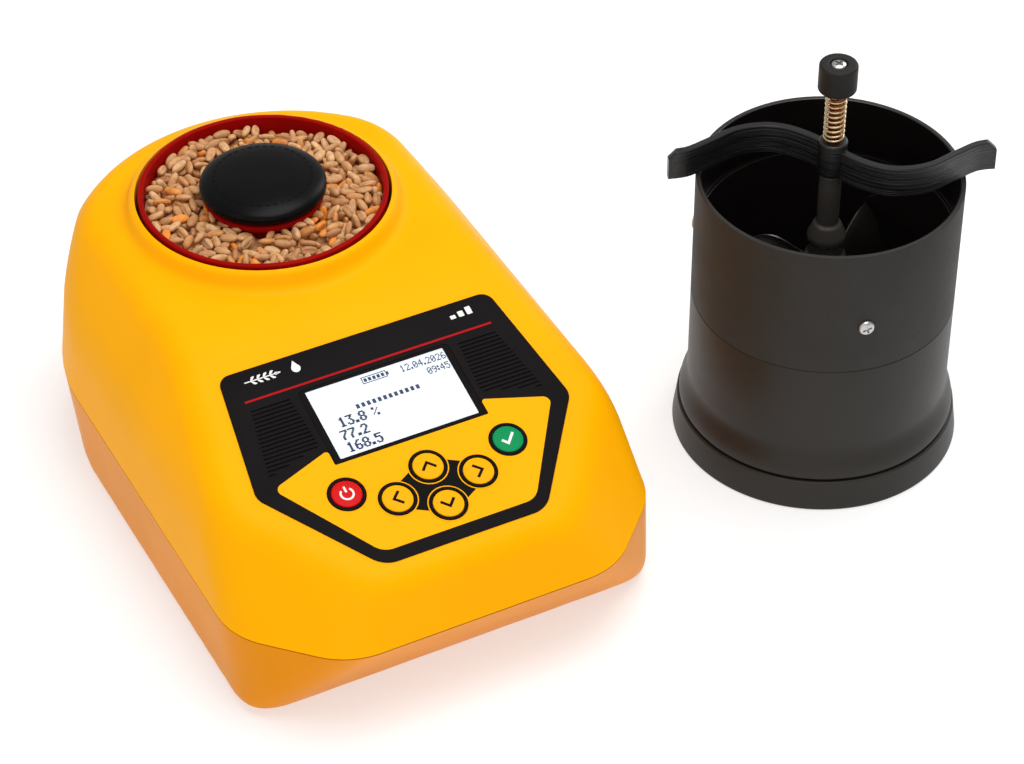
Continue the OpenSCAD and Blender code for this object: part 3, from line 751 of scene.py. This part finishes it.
def grille_slots():
    """Rows of fine slots on each side of the display, cut short where the key area rises."""
    slots = []
    for i in range(17):
        v = 25.9 + i * 1.74
        outer = 55.2 - (v - 25.6) * 0.2
        inner = 32.6 + (v - 31.0) * 0.07 if v > 31.4 else 32.6 + (31.4 - v) * 3.6
        for side in (-1, 1):
            slots.append(bar(side * (outer + inner) / 2, v, outer - inner, 0.62, 0.28))
    return slots


def printed(name, loops, ink, lift=0.03):
    """A film of ink on the overlay."""
    add(name, flat_shape(loops, OVERLAY_TOP + lift, 0.06, DECK), "case", M[ink], smooth=None)


def make_overlay():
    holes = [circle(x, y, KEY_HOLE) for x, y in KEYS.values()]
    thick = 1.0
    top = 0.5
    loops = [PANEL_LOOP, window_loop(), *holes]
    plate = flat_shape(loops, OVERLAY_TOP - (thick + top) / 2, thick - top, DECK)
    face = flat_shape(loops + grille_slots(), OVERLAY_TOP - top / 2, top, DECK, bevel=0.12)
    add("overlay_plate", join([plate, face]), "case", M["panel"], ["panel_overlay"])

    right = [(30.9, 28.3), (56.0, 19.9), (30.4, -18.4)]
    radii = [1.2, 2.6, 7.5, 7.5, 2.6, 1.2, 0.6, 0.6]
    yellow = rounded_polygon(right + mirror_x(right)[::-1] + [(-30.9, 21.4), (30.9, 21.4)], radii)
    printed("key_area_print", [yellow, *holes], "print_yellow")
    printed("red_rule", [bar(0, 58.2, 100.0, 0.85, 0.1)], "print_red")


def make_key_rings():
    """A raised black ring round each key, and the dark four-armed field the arrow keys stand in."""
    section = ((0, -0.3), (1.25, -0.3), (1.25, 0.3), (0.9, 0.5), (0, 0.5))
    profile = [(KEY_HOLE + r, OVERLAY_TOP + z) for r, z in section]
    rings = [lathe(profile, DECK @ Matrix.Translation((x, y, 0)), 96, 0.15) for x, y in KEYS.values()]
    add("key_rings", join(rings), "case", M["print_black"])

    arrows = [KEYS[k] for k in ("up_key", "right_key", "down_key", "left_key")]
    field = []
    # between neighbouring keys the field's edge bows in, from one ring's side to the next
    for i, a in enumerate(arrows):
        b = arrows[(i + 1) % 4]
        a, b = Vector(a), Vector(b)
        middle = (a + b) / 2
        out = middle.normalized()
        field.append(tuple(a + (b - a).normalized() * 3.2 + out * 4.6))
        field.append(tuple(b + (a - b).normalized() * 3.2 + out * 4.6))
    lift = 0.09
    printed("arrow_field", [rounded_polygon(field, 0.8, 3)], "print_black", lift)
    halos = []
    for x, y in arrows:
        rims = [circle(x, y, KEY_HOLE + r, 72) for r in (1.7, 1.0)]
        halos.append(flat_shape(rims, OVERLAY_TOP + lift + 0.05, 0.06, DECK))
    add("arrow_halos", join(halos), "case", M["print_yellow"], smooth=None)


def make_keys():
    """Each key is a shallow cap with a flange under the deck, and its printed sign on top."""
    r = 5.7
    cap = [(0, -4.7), (2, -4.7), (2, -3.9), (r + 1, -3.9), (r + 1, -2.9), (r, -2.9)]
    cap += [(r, 0.75), (r - 0.35, 0.98), (3.0, 1.12), (0, 1.16)]
    materials = {"power_key": "key_red", "ok_key": "key_green"}
    chevron = [(-2.7, -1.35), (0, 1.45), (2.7, -1.35)]
    turns = {"up_key": 0, "left_key": 90, "down_key": 180, "right_key": 270}
    for name, (x, y) in KEYS.items():
        place = DECK @ Matrix.Translation((x, y, 0))
        kind = materials.get(name, "key_yellow")
        add(name + "_cap", lathe(cap, place, 96, 0.3), name, M[kind], [name])
        level = 1.17
        if name in turns:
            spin = place @ turned(turns[name])
            sign = flat_shape([stroke(chevron, 1.05)], level, 0.12, spin)
            ink = "print_black"
        elif name == "ok_key":
            sign = flat_shape([stroke([(-2.5, 0.1), (-0.7, -1.9), (2.7, 1.9)], 1.0)], level, 0.12, place)
            ink = "print_white"
        else:
            arc = [math.radians(90 + 42 + (360 - 84) * k / 28) for k in range(29)]
            arm = stroke([(2.35 * math.cos(a), 2.35 * math.sin(a) - 0.2) for a in arc], 0.75)
            shapes = (arm, bar(0, 1.75, 0.8, 2.6, 0.2))
            sign = join([flat_shape([shape], level, 0.12, place) for shape in shapes])
            ink = "print_white"
        add(name + "_sign", sign, name, M[ink], smooth=None)


def make_signs():
    """Plain printed signs in the panel's top band: an ear of grain, a drop and three rising bars."""
    shapes = []
    for i in range(4):
        u, v = -44.5 + i * 2.5, 66.2
        for side in (-1, 1):
            leaf = [(u, v), (u + 1.3, v + side * 0.5), (u + 2.7, v + side * 1.9), (u + 1.1, v + side * 1.7)]
            shapes.append(rounded_polygon(leaf, 0.25, 3))
    shapes.append(bar(-40.0, 66.2, 13.5, 0.45, 0.15))
    shapes.append(rounded_polygon([(-34.6, 66.9), (-31.6, 66.2), (-34.6, 65.5)], 0.2, 3))
    arc = [math.radians(25 - 230 * k / 20) for k in range(21)]
    shapes.append([(-26.4, 69.2)] + [(-26.4 + 1.75 * math.cos(a), 65.6 + 1.75 * math.sin(a)) for a in arc])
    for i in range(3):
        rise = 2 - i
        shapes.append(bar(44.5 - i * 3.4, 65.55 + 0.45 * rise, 2.2, 1.6 + 0.9 * rise, 0.25))
    parts = [flat_shape([shape], OVERLAY_TOP + 0.03, 0.06, DECK) for shape in shapes]
    add("panel_signs", join(parts), "case", M["print_white"], smooth=None)


# Five dots wide, seven high: one string per row
GLYPHS = {
    "0": ".###. #...# #..## #.#.# ##..# #...# .###.",
    "1": "..#.. .##.. ..#.. ..#.. ..#.. ..#.. .###.",
    "2": ".###. #...# ....# ...#. ..#.. .#... #####",
    "3": "##### ...#. ..#.. ...#. ....# #...# .###.",
    "4": "...#. ..##. .#.#. #..#. ##### ...#. ...#.",
    "5": "##### #.... ####. ....# ....# #...# .###.",
    "6": "..##. .#... #.... ####. #...# #...# .###.",
    "7": "##### ....# ...#. ..#.. .#... .#... .#...",
    "8": ".###. #...# #...# .###. #...# #...# .###.",
    "9": ".###. #...# #...# .#### ....# ...#. .##..",
    ".": "..... ..... ..... ..... ..... ##... ##...",
    ":": "..... ##... ##... ..... ##... ##... .....",
    "%": "##... ##..# ...#. ..#.. .#... #..## ...##",
}


def dots(text, u, v, pitch, rise, wide):
    """The lit marks of a line of glyphs whose lower left corner is at (u, v)."""
    lit = []
    x = u
    for ch in text:
        for row, line in enumerate(GLYPHS[ch].split()):
            for col, mark in enumerate(line):
                if mark == "#":
                    lit.append((x + col * pitch, v + (6 - row) * rise, pitch * wide, rise))
        x += (3.4 if ch in ".:" else 6) * pitch + (wide - 1) * pitch * 0.6
    return lit


def make_display():
    """The dark surround, the bright face set back in it, and the readings as raised squares of ink."""
    tray = 0.35
    face_w = 55.8
    face_v = (23.2, 54.6)
    mid = (face_v[0] + face_v[1]) / 2
    face_h = face_v[1] - face_v[0]
    face_z = OVERLAY_TOP - 0.35
    mask = flat_shape([window_loop(-0.12), bar(0, mid, face_w, face_h, 0.4)], face_z + 0.03, 0.5, DECK)
    add("display_mask", mask, "case", M["print_black"], ["display_window"])
    glass = flat_shape([bar(0, mid, face_w + 3, face_h + 2, 0.4)], face_z - tray, 0.6, DECK)
    add("display_face", glass, "case", M["lcd"], ["lcd_glass"], smooth=None)

    left, top = -face_w / 2, face_v[1]
    small = (0.33, 0.43, 1.25)
    big = (0.47, 0.62, 2.0)
    lines = [
        ("12.04.2026", 37.2, 4.6, small), ("09:45", 46.2, 9.1, small), ("13.8", 6.0, 18.9, big),
        ("%", 19.5, 18.6, (0.5, 0.56, 1.1)), ("77.2", 4.4, 24.4, big), ("168.5", 4.4, 29.9, big),
    ]
    lit = []
    for text, across, down, form in lines:
        lit += dots(text, left + across, top - down, *form)
    # battery gauge
    for k in range(5):
        lit.append((left + 22.5 + k * 1.75, top - 3.6, 1.2, 1.5))
    frame_u, frame_v, frame_w, frame_h = left + 21.7, top - 4.35, 10.0, 3.0
    lit += [(frame_u, frame_v, frame_w, 0.35), (frame_u, frame_v + frame_h - 0.35, frame_w, 0.35),
            (frame_u, frame_v, 0.35, frame_h), (frame_u + frame_w - 0.35, frame_v, 0.35, frame_h),
            (frame_u + frame_w, frame_v + 0.8, 0.8, 1.4)]
    # a row of small blocks where a heading would be
    for k in range(12):
        lit.append((left + 15.0 + k * 2.2, top - 13.4, 1.3, 1.9))
    bm = bmesh.new()
    level = face_z - tray + 0.31
    for u, v, w, h in lit:
        square = bmesh.ops.create_cube(bm, size=1)["verts"]
        for vert in square:
            vert.co = (u + (vert.co.x + 0.5) * w, v + (vert.co.y + 0.5) * h, level + vert.co.z * 0.04)
    add("display_ink", mesh_of(bm, DECK), "case", M["lcd_ink"], smooth=None)


# ---- the vessel

def make_vessel():
    floor = RIM_Z - 41.5
    r = RIM_R
    cup = [(2.2, 59), (12, 59), (12, 57), (26, 57), (r - 4, 58), (r - 0.4, 62), (r - 0.4, RIM_Z - 8)]
    cup += [(r, RIM_Z - 7), (r, RIM_Z), (r - 2, RIM_Z), (r - 2, floor), (2.2, floor)]
    skin = lathe(cup, AT_METER, 192, 0.7)
    add("vessel_cup_skin", skin, "vessel", M["vessel_red"], ["vessel_cup"])
    neck = RIM_Z - 6
    post = [(18, floor), (20, floor), (20, neck - 1), (23.2, neck + 3), (23.2, neck + 4.8)]
    post += [(2.2, neck + 4.8), (2.2, neck + 2.8), (18, neck + 2.8)]
    skin = lathe(post, AT_METER, 160, 0.5)
    add("vessel_post_skin", skin, "vessel", M["vessel_red"], ["vessel_post"])
    low, high = box_mm("vessel_knob")
    kr = (high[0] - low[0]) / 2
    base, top = low[2], high[2]
    crown = base + 3.8
    flat = 0.72
    dome = [(0, base + 2), (1.6, base + 2), (1.6, base)]
    dome += [(kr - 2.3, base), (kr - 1.2, base + 0.9), (kr, base + 2.4)]
    for k in range(26):
        a = math.radians(90 * k / 26)
        dome.append((kr * math.cos(a) ** flat, crown + (top - crown) * math.sin(a)))
    skin = mesh_of(lathe_bm(dome + [(0, top)], 192), AT_METER)
    add("vessel_knob_skin", skin, "vessel", M["knob_black"], ["vessel_knob"])
    # a ring of raised dots and dashes round the cap
    bm = bmesh.new()
    ring_r = kr * 0.77
    drop = math.acos((ring_r / kr) ** (1 / flat))
    level = crown + (top - crown) * math.sin(drop)
    fall = math.atan2((top - crown) * math.cos(drop), ring_r) * 1.15
    for k in range(40):
        length = 1.9 if k % 5 else 0.8
        turn = turned(9 * k) @ Matrix.Translation((ring_r, 0, level - 0.02))
        size = Matrix.Diagonal((1.1, length, 0.3, 1))
        bmesh.ops.create_cube(bm, size=1, matrix=turn @ Matrix.Rotation(fall, 4, "Y") @ size)
    bmesh.ops.bevel(bm, geom=bm.edges, offset=0.1, segments=2, affect="EDGES")
    add("vessel_knob_marks", mesh_of(bm, AT_METER), "vessel", M["knob_black"])


def kernel(bm, place, size):
    """A kernel of wheat: a long egg, creased along its flat side, with a pointed germ and a blunt end."""
    rings, sides = 11, 12
    loops = []
    for i in range(1, rings):
        t = i / rings
        x = -math.cos(math.pi * t)
        body = math.sin(math.pi * t) ** (0.72 if x > 0 else 0.86)
        loop = []
        for k in range(sides):
            a = 2 * math.pi * k / sides
            y = math.cos(a)
            z = math.sin(a)
            crease = 0.34 * math.exp(-((a - 1.5 * math.pi) / 0.42) ** 2) * body
            z = z * (0.78 if z < 0 else 0.96) + crease
            point = Vector((x * size[0], y * body * size[1], (z * body + 0.06 * x * x) * size[2]))
            loop.append(bm.verts.new(place @ point))
        loops.append(loop)
    tips = [bm.verts.new(place @ Vector((s * size[0], 0, 0.06 * size[2]))) for s in (-1, 1)]
    for low, high in zip(loops, loops[1:]):
        band(bm, low, high)
    for k in range(sides):
        bm.faces.new([loops[0][(k + 1) % sides], loops[0][k], tips[0]])
        bm.faces.new([loops[-1][k], loops[-1][(k + 1) % sides], tips[1]])


def settle(count, r_in, r_out, top, depth, rng, rounds):
    """Spreads kernels, each three balls in a row, until few overlap inside the ring they fill."""
    ball = 1.58
    half = 1.75
    area = rng.random(count)
    r = np.sqrt(r_in ** 2 + area * (r_out ** 2 - r_in ** 2))
    a = rng.random(count) * 2 * math.pi
    pos = np.column_stack([r * np.cos(a), r * np.sin(a), top - rng.random(count) * depth])
    axis = rng.normal(size=(count, 3)) * (1, 1, 0.34)
    axis /= np.linalg.norm(axis, axis=1)[:, None]
    for _ in range(rounds):
        balls = np.concatenate([pos - axis * half, pos, pos + axis * half])
        owner = np.tile(np.arange(count), 3)
        arm = np.concatenate([-np.full(count, half), np.zeros(count), np.full(count, half)])
        gap = balls[:, None, :] - balls[None, :, :]
        dist = np.sqrt((gap ** 2).sum(2)) + 1e-9
        over = np.clip(2 * ball - dist, 0, None)
        over[owner[:, None] == owner[None, :]] = 0
        push = (gap / dist[:, :, None] * over[:, :, None]).sum(1) * 0.22
        rr = np.hypot(balls[:, 0], balls[:, 1]) + 1e-9
        radial = balls[:, :2] / rr[:, None]
        push[:, :2] += radial * np.clip(r_in + ball - rr, 0, None)[:, None] * 0.5
        push[:, :2] -= radial * np.clip(rr - (r_out - ball), 0, None)[:, None] * 0.5
        push[:, 2] -= np.clip(balls[:, 2] - top, 0, None) * 0.3
        push[:, 2] += np.clip(top - depth - balls[:, 2], 0, None) * 0.3
        move = np.zeros_like(pos)
        twist = np.zeros_like(pos)
        np.add.at(move, owner, push / 2)
        np.add.at(twist, owner, push * arm[:, None] / (2 * half * half) * 0.5)
        pos += move
        axis += twist
        axis /= np.linalg.norm(axis, axis=1)[:, None]
    return pos, axis


def make_grain():
    rng = np.random.default_rng(7)
    rounds = 60
    pos, axis = settle(560, 20.2, RIM_R - 2.2, RIM_Z - 4.0, 6.0, rng, rounds)
    bm = bmesh.new()
    for p, x in zip(pos, axis):
        x = Vector(x)
        y = Vector(rng.normal(size=3)).cross(x).normalized()
        z = x.cross(y)
        turn = Matrix((x, y, z)).transposed().to_4x4()
        k = 0.9 + 0.2 * rng.random()
        size = (3.5 * k, 1.78 * (0.92 + 0.16 * rng.random()), 1.62 * (0.92 + 0.16 * rng.random()))
        kernel(bm, Matrix.Translation(Vector(p)) @ turn, size)
    add("wheat_grain", mesh_of(bm, AT_METER), "vessel", M["grain"])
    bed = [(20.1, RIM_Z - 41.4), (RIM_R - 2.1, RIM_Z - 41.4), (RIM_R - 2.1, RIM_Z - 8.6), (20.1, RIM_Z - 8.6)]
    add("grain_bed", lathe(bed, AT_METER, 96, 0.5), "vessel", M["grain"])


# ---- screws

def screw_head(bm, place, r, h, shank_r, shank):
    """A domed screw head with a cross recess, looking along +Z of its place."""
    profile = [(0, -shank), (shank_r, -shank), (shank_r, 0), (r, 0), (r, h * 0.35)]
    profile += [(r * 0.86, h * 0.78), (r * 0.5, h), (0, h)]
    obj = link("head", mesh_of(lathe_bm(rounded(profile, 0.15, 2), 40)))
    slots = []
    for turn in (0, 90):
        slot = bmesh.new()
        side = turned(turn + 20) @ Matrix.Translation((0, 0, h))
        bmesh.ops.create_cube(slot, size=1, matrix=side @ Matrix.Diagonal((r * 1.15, r * 0.24, h * 1.1, 1)))
        slots.append(mesh_of(slot))
    cut(obj, slots)
    obj.data.transform(place)
    bm.from_mesh(obj.data)
    data = obj.data
    bpy.data.objects.remove(obj)
    bpy.data.meshes.remove(data)


# ---- the hopper

def make_hopper():
    low, high = box_mm("hopper_sleeve")
    tube = (high[0] - low[0]) / 2
    rim = high[2]
    joint_z = low[2]
    foot = (ring_high[0] - ring_low[0]) / 2
    step = ring_high[2]
    bore = 48.9
    inside = 49.2
    ring = [(54.3, 0), (foot, 0), (foot, 0.8), (54.5, step - 0.3)]
    ring += [(53.9, step), (bore, step), (bore, 10), (54.3, 10)]
    skin = lathe(ring, AT_HOPPER, 192, 0.45)
    add("base_ring_skin", skin, "hopper", M["hopper_black"], ["base_ring"])

    body = [(bore, step), (52.2, step), (52.2, 13.2), (53.6, 13.5)]
    body += [(53.75 - 2.95 * (t * t * (3 - 2 * t)), 14.4 + 12.6 * t) for t in [k / 10 for k in range(11)]]
    body += [(tube, joint_z - 0.35), (tube - 0.2, joint_z), (49.3, joint_z), (49.3, 95), (48, 95)]
    body += [(48, 38), (45.5, 36), (45.5, 33), (bore, 33)]
    lower = lathe(body, AT_HOPPER, 192, 0.25, 2)
    finishes = [M["hopper_black"], M["hopper_inner"]]
    add("hopper_body_skin", lower, "hopper", finishes, ["hopper_body", "valve_seat"])
    paint_inside(lower, inside, HOPPER)

    sleeve = [(49.3, joint_z), (tube - 0.2, joint_z), (tube, joint_z + 0.35), (tube, rim)]
    sleeve += [(48.8, rim), (48.8, 95.5), (49.3, 95.5)]
    upper = lathe(sleeve, AT_HOPPER, 192, 0.45, 3)
    finishes = [M["sleeve_black"], M["hopper_inner"]]
    add("hopper_sleeve_skin", upper, "hopper", finishes, ["hopper_sleeve"])
    paint_inside(upper, inside, HOPPER)

    bm = bmesh.new()
    for angle in (-104, 16, 136):
        turn = turned(angle)
        lean = Matrix.Translation((tube - 0.05, 0, 86)) @ turned(90, "Y")
        screw_head(bm, turn @ lean, 3.1, 1.7, 1.5, 2.6)
    add("sleeve_screw_heads", mesh_of(bm, AT_HOPPER), "hopper", M["steel"], ["sleeve_screws"])


def paint_inside(mesh, radius, axis_mm):
    """Gives the faces inside a tube its second material."""
    limit = radius * MM
    cx, cy = axis_mm[0] * MM, axis_mm[1] * MM
    for face in mesh.polygons:
        c = face.center
        face.material_index = 1 if math.hypot(c.x - cx, c.y - cy) < limit else 0


def s_curve():
    """Plan line of the bridge bar: straight ears, one smooth swing out and back on each side of the hub."""
    knots = [(0, 0), (8, -7.2), (17, -12.2), (26, -13.4), (36, -10.6)]
    knots += [(46, -3.4), (53, 1.6), (57, 3.2), (61.5, 4.0)]
    pts = [Vector(k) for k in knots]
    line = []
    for i in range(len(pts) - 1):
        p0 = pts[i - 1] if i else -pts[1]
        p1, p2 = pts[i], pts[i + 1]
        p3 = pts[i + 2] if i + 2 < len(pts) else p2 + (p2 - p1)
        for k in range(8):
            t = k / 8
            square = (2 * p0 - 5 * p1 + 4 * p2 - p3) * t * t
            line.append(0.5 * ((2 * p1) + (p2 - p0) * t + square + (3 * p1 - p0 - 3 * p2 + p3) * t ** 3))
    line.append(pts[-1])
    return [-p for p in line[:0:-1]] + line


def make_bridge():
    """The bar is a stack of thin layers, each a hair wider or narrower than the next."""
    low, high = box_mm("bridge_handle")
    z0, z1 = low[2], high[2]
    height = 12.5
    line = s_curve()
    last = len(line) - 1
    rows = 42
    rng = random.Random(3)
    wobble = {(side, k): rng.uniform(-0.07, 0.07) for side in (-1, 1) for k in range(rows + 1)}
    normals = []
    for i in range(last + 1):
        d = (line[min(i + 1, last)] - line[max(i - 1, 0)]).normalized()
        normals.append(Vector((-d.y, d.x)))

    def at(side, c, k):
        # the ears are cut off at their top corner
        top = height - max(0, abs(line[c].x) - 58.5) * 1.1
        half = 1.45 + wobble[side, k] - (0.3 if k in (0, rows) else 0.0)
        p = line[c] + normals[c] * side * half
        return p.x, p.y, z0 + top * k / rows

    bar_mesh = slab(at, last, rows, AT_HOPPER @ turned(HANDLE_TURN))
    add("bridge_bar", bar_mesh, "rotor", M["layered"], ["bridge_handle"])
    hub = [(ROD_BORE, z0), (4.6, z0), (5.5, z0 + 1.5), (5.5, z1 - 0.6), (4.9, z1), (ROD_BORE, z1)]
    add("bridge_hub", lathe(hub, AT_HOPPER, 96, 0.3), "rotor", M["layered"])


def blade(turn):
    """One curved blade of the rotor: it sweeps back from the post, and its top rolls over."""
    cols, rows = 26, 18

    def at(side, c, k):
        t, s = c / cols, k / rows
        r = 5.5 + 38.0 * t
        low_z = 50 + 8 * max(0, t - 0.65) / 0.35
        high_z = 80 + 11 * math.sin(math.pi * min(1, t * 1.06)) ** 1.4 - 5 * t
        sweep = 0.30 * t * t + 0.10 * math.sin(math.pi * s * 0.5) * t
        roll = 7.5 * t ** 0.6 * max(0, s - 0.5) ** 2 / 0.25
        thick = 0.8 if k < rows else 0.3
        return r * math.cos(sweep), r * math.sin(sweep) + roll + side * thick, low_z + (high_z - low_z) * s

    return slab(at, cols, rows, AT_HOPPER @ turned(turn))


def make_rotor():
    top = box_mm("wiper_rotor")[1][2]
    tube = [(ROD_BORE, 34), (4.25, 34), (4.25, 46.3), (6.5, 46.3), (6.5, 78), (8, 79), (8, 82), (6.8, 84)]
    tube += [(6.8, 89), (7.4, 90), (7.4, 92), (5.4, 97), (4.25, 98), (4.25, top), (ROD_BORE, top)]
    post = lathe(tube, AT_HOPPER, 96, 0.7)
    # the post's lighter grey is painted light for the highlight it catches in the hopper; the blades keep the
    # plastic's own dark colour
    add("rotor_post", post, "rotor", M["post_painted_light"], ["wiper_rotor"])
    blades = [blade(HANDLE_TURN - 84 + 120 * i) for i in range(3)]
    add("rotor_blades", join(blades), "rotor", M["blade_gloss"])


def make_plunger():
    low, high = box_mm("press_knob")
    r = (high[0] - low[0]) / 2
    z0, z1 = low[2], high[2]
    knob = [(2.5, z0), (r - 0.5, z0), (r, z0 + 0.6), (r, z1 - 0.7), (r - 0.7, z1), (3.3, z1)]
    knob += [(3.3, z1 - 1.6), (1.5, z1 - 1.6), (1.5, z0 + 6), (2.5, z0 + 6)]
    skin = lathe(knob, AT_HOPPER, 96, 0.6, 4)
    add("press_knob_skin", skin, "plunger", M["small_knob"], ["press_knob"])
    bm = bmesh.new()
    screw_head(bm, Matrix.Translation((0, 0, z1 - 1.5)), 3.1, 1.7, 1.5, 3.6)
    add("knob_screw_head", mesh_of(bm, AT_HOPPER), "plunger", M["steel"], ["press_knob_screw"])


def make_spring():
    """A compression spring with closed ends."""
    low, high = box_mm("return_spring")
    wire = 0.5
    mean = (high[0] - low[0]) / 2 - 0.45
    turns = 10.5
    steps, sides = int(turns * 28), 10
    z0, z1 = low[2] + 0.05, high[2] - 0.05
    bm = bmesh.new()
    loops = []
    for i in range(steps + 1):
        t = i / steps
        # the end turns lie flat and close together
        s = t * turns
        rise = np.interp(s, [0, 1.0, turns - 1.0, turns], [0, 0.07, 0.93, 1.0])
        z = z0 + wire + (z1 - z0 - 2 * wire) * rise
        a = 2 * math.pi * s
        loop = []
        for k in range(sides):
            c = 2 * math.pi * k / sides
            rr = mean + wire * math.cos(c)
            loop.append(bm.verts.new((rr * math.cos(a), rr * math.sin(a), z + wire * math.sin(c))))
        loops.append(loop)
    for p, q in zip(loops, loops[1:]):
        band(bm, p, q)
    bm.faces.new(loops[0][::-1])
    bm.faces.new(loops[-1])
    coil = mesh_of(bm, AT_HOPPER)
    spring = add("spring_coil", coil, "rotor", M["bronze"], ["return_spring"], smooth=60)
    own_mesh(spring)


# ---- finishes for the CAD nodes that stay

KEEP = {
    "aluminium": ["load_platform", "load_cell", "load_cell_bracket"],
    "black_plastic": ["battery_holder", "buzzer", "vessel_well"],
    "board": ["main_board", "socket_board", "keypad_board", "lcd_module"],
    "brass": ["rod_bush"],
    "case_base": ["battery_door"],
    "cells": ["battery_cells"],
    "gold": ["contact_pins"],
    "hopper_inner": ["bearing_spider", "valve_plate"],
    "rod_bronze": ["push_rod"],
    "rubber_black": ["rubber_feet"],
    "spring_steel": ["battery_contacts", "dome_switches"],
    "steel": [
        "case_screws", "door_pin", "board_screws", "usb_socket", "post_screw", "load_cell_screws",
        "temperature_sensor", "retaining_ring", "valve_nut",
    ],
}


def finish_nodes():
    for kind, names in KEEP.items():
        for name in names:
            for slot in frame["nodes"][name].material_slots:
                slot.material = M[kind]


# ---- the studio

def make_studio():
    floor = bmesh.new()
    bmesh.ops.create_grid(floor, x_segments=1, y_segments=1, size=4)
    obj = link("floor", mesh_of(floor, Matrix.Translation((0, 0, -0.0003))))
    s = Shader("pale_floor", rough=0.9, specular=0.1)
    s.colour(s.ramp(s.noise(3, 2), [(0.3, (0.54, 0.54, 0.54)), (0.7, (0.56, 0.56, 0.56))]))
    s.set(Emission_Color=(1, 1, 1, 1), Emission_Strength=0.52)
    obj.data.materials.append(s.mat)

    world = bpy.data.worlds.new("studio")
    bpy.context.scene.world = world
    world.use_nodes = True
    world.node_tree.nodes["Background"].inputs["Color"].default_value = (1, 1, 1, 1)
    world.node_tree.nodes["Background"].inputs["Strength"].default_value = 0.5

    def area(name, place, target, size, power):
        light = bpy.data.lights.new(name, "AREA")
        light.shape = "RECTANGLE"
        light.size, light.size_y = size
        light.energy = power
        made = link(name, light)
        made.location = place
        made.rotation_euler = (Vector(target) - Vector(place)).to_track_quat("-Z", "Y").to_euler()

    area("overhead", (0.12, -0.12, 1.3), (0, 0, 0.05), (1.1, 0.8), 12.0)
    area("left_panel", (-1.1, -0.3, 0.6), (0, 0, 0.05), (0.5, 1.0), 0.8)
    area("front_strip", (-0.62, -1.02, 0.32), (-0.08, 0, 0.08), (0.9, 0.12), 1.25)
    area("right_panel", (0.8, 0.3, 0.55), (0.1, 0, 0.1), (0.3, 0.6), 2.0)


def make_camera():
    cam = bpy.data.cameras.new("camera")
    cam.lens = 121.4
    cam.sensor_width = 36
    cam.clip_start = 0.05
    obj = link("camera", cam)
    obj.location = (METER[0] * MM - 0.3983, METER[1] * MM - 0.9782, 0.9019)
    obj.rotation_euler = (math.radians(49.586), 0, math.radians(-27.315))
    bpy.context.scene.camera = obj


make_camera()
make_studio()
make_top_shell()
make_base_shell()
make_gasket()
make_overlay()
make_key_rings()
make_keys()
make_signs()
make_display()
make_vessel()
make_grain()
make_hopper()
make_bridge()
make_rotor()
make_plunger()
make_spring()
finish_nodes()
bpy.context.scene.view_settings.view_transform = "Standard"
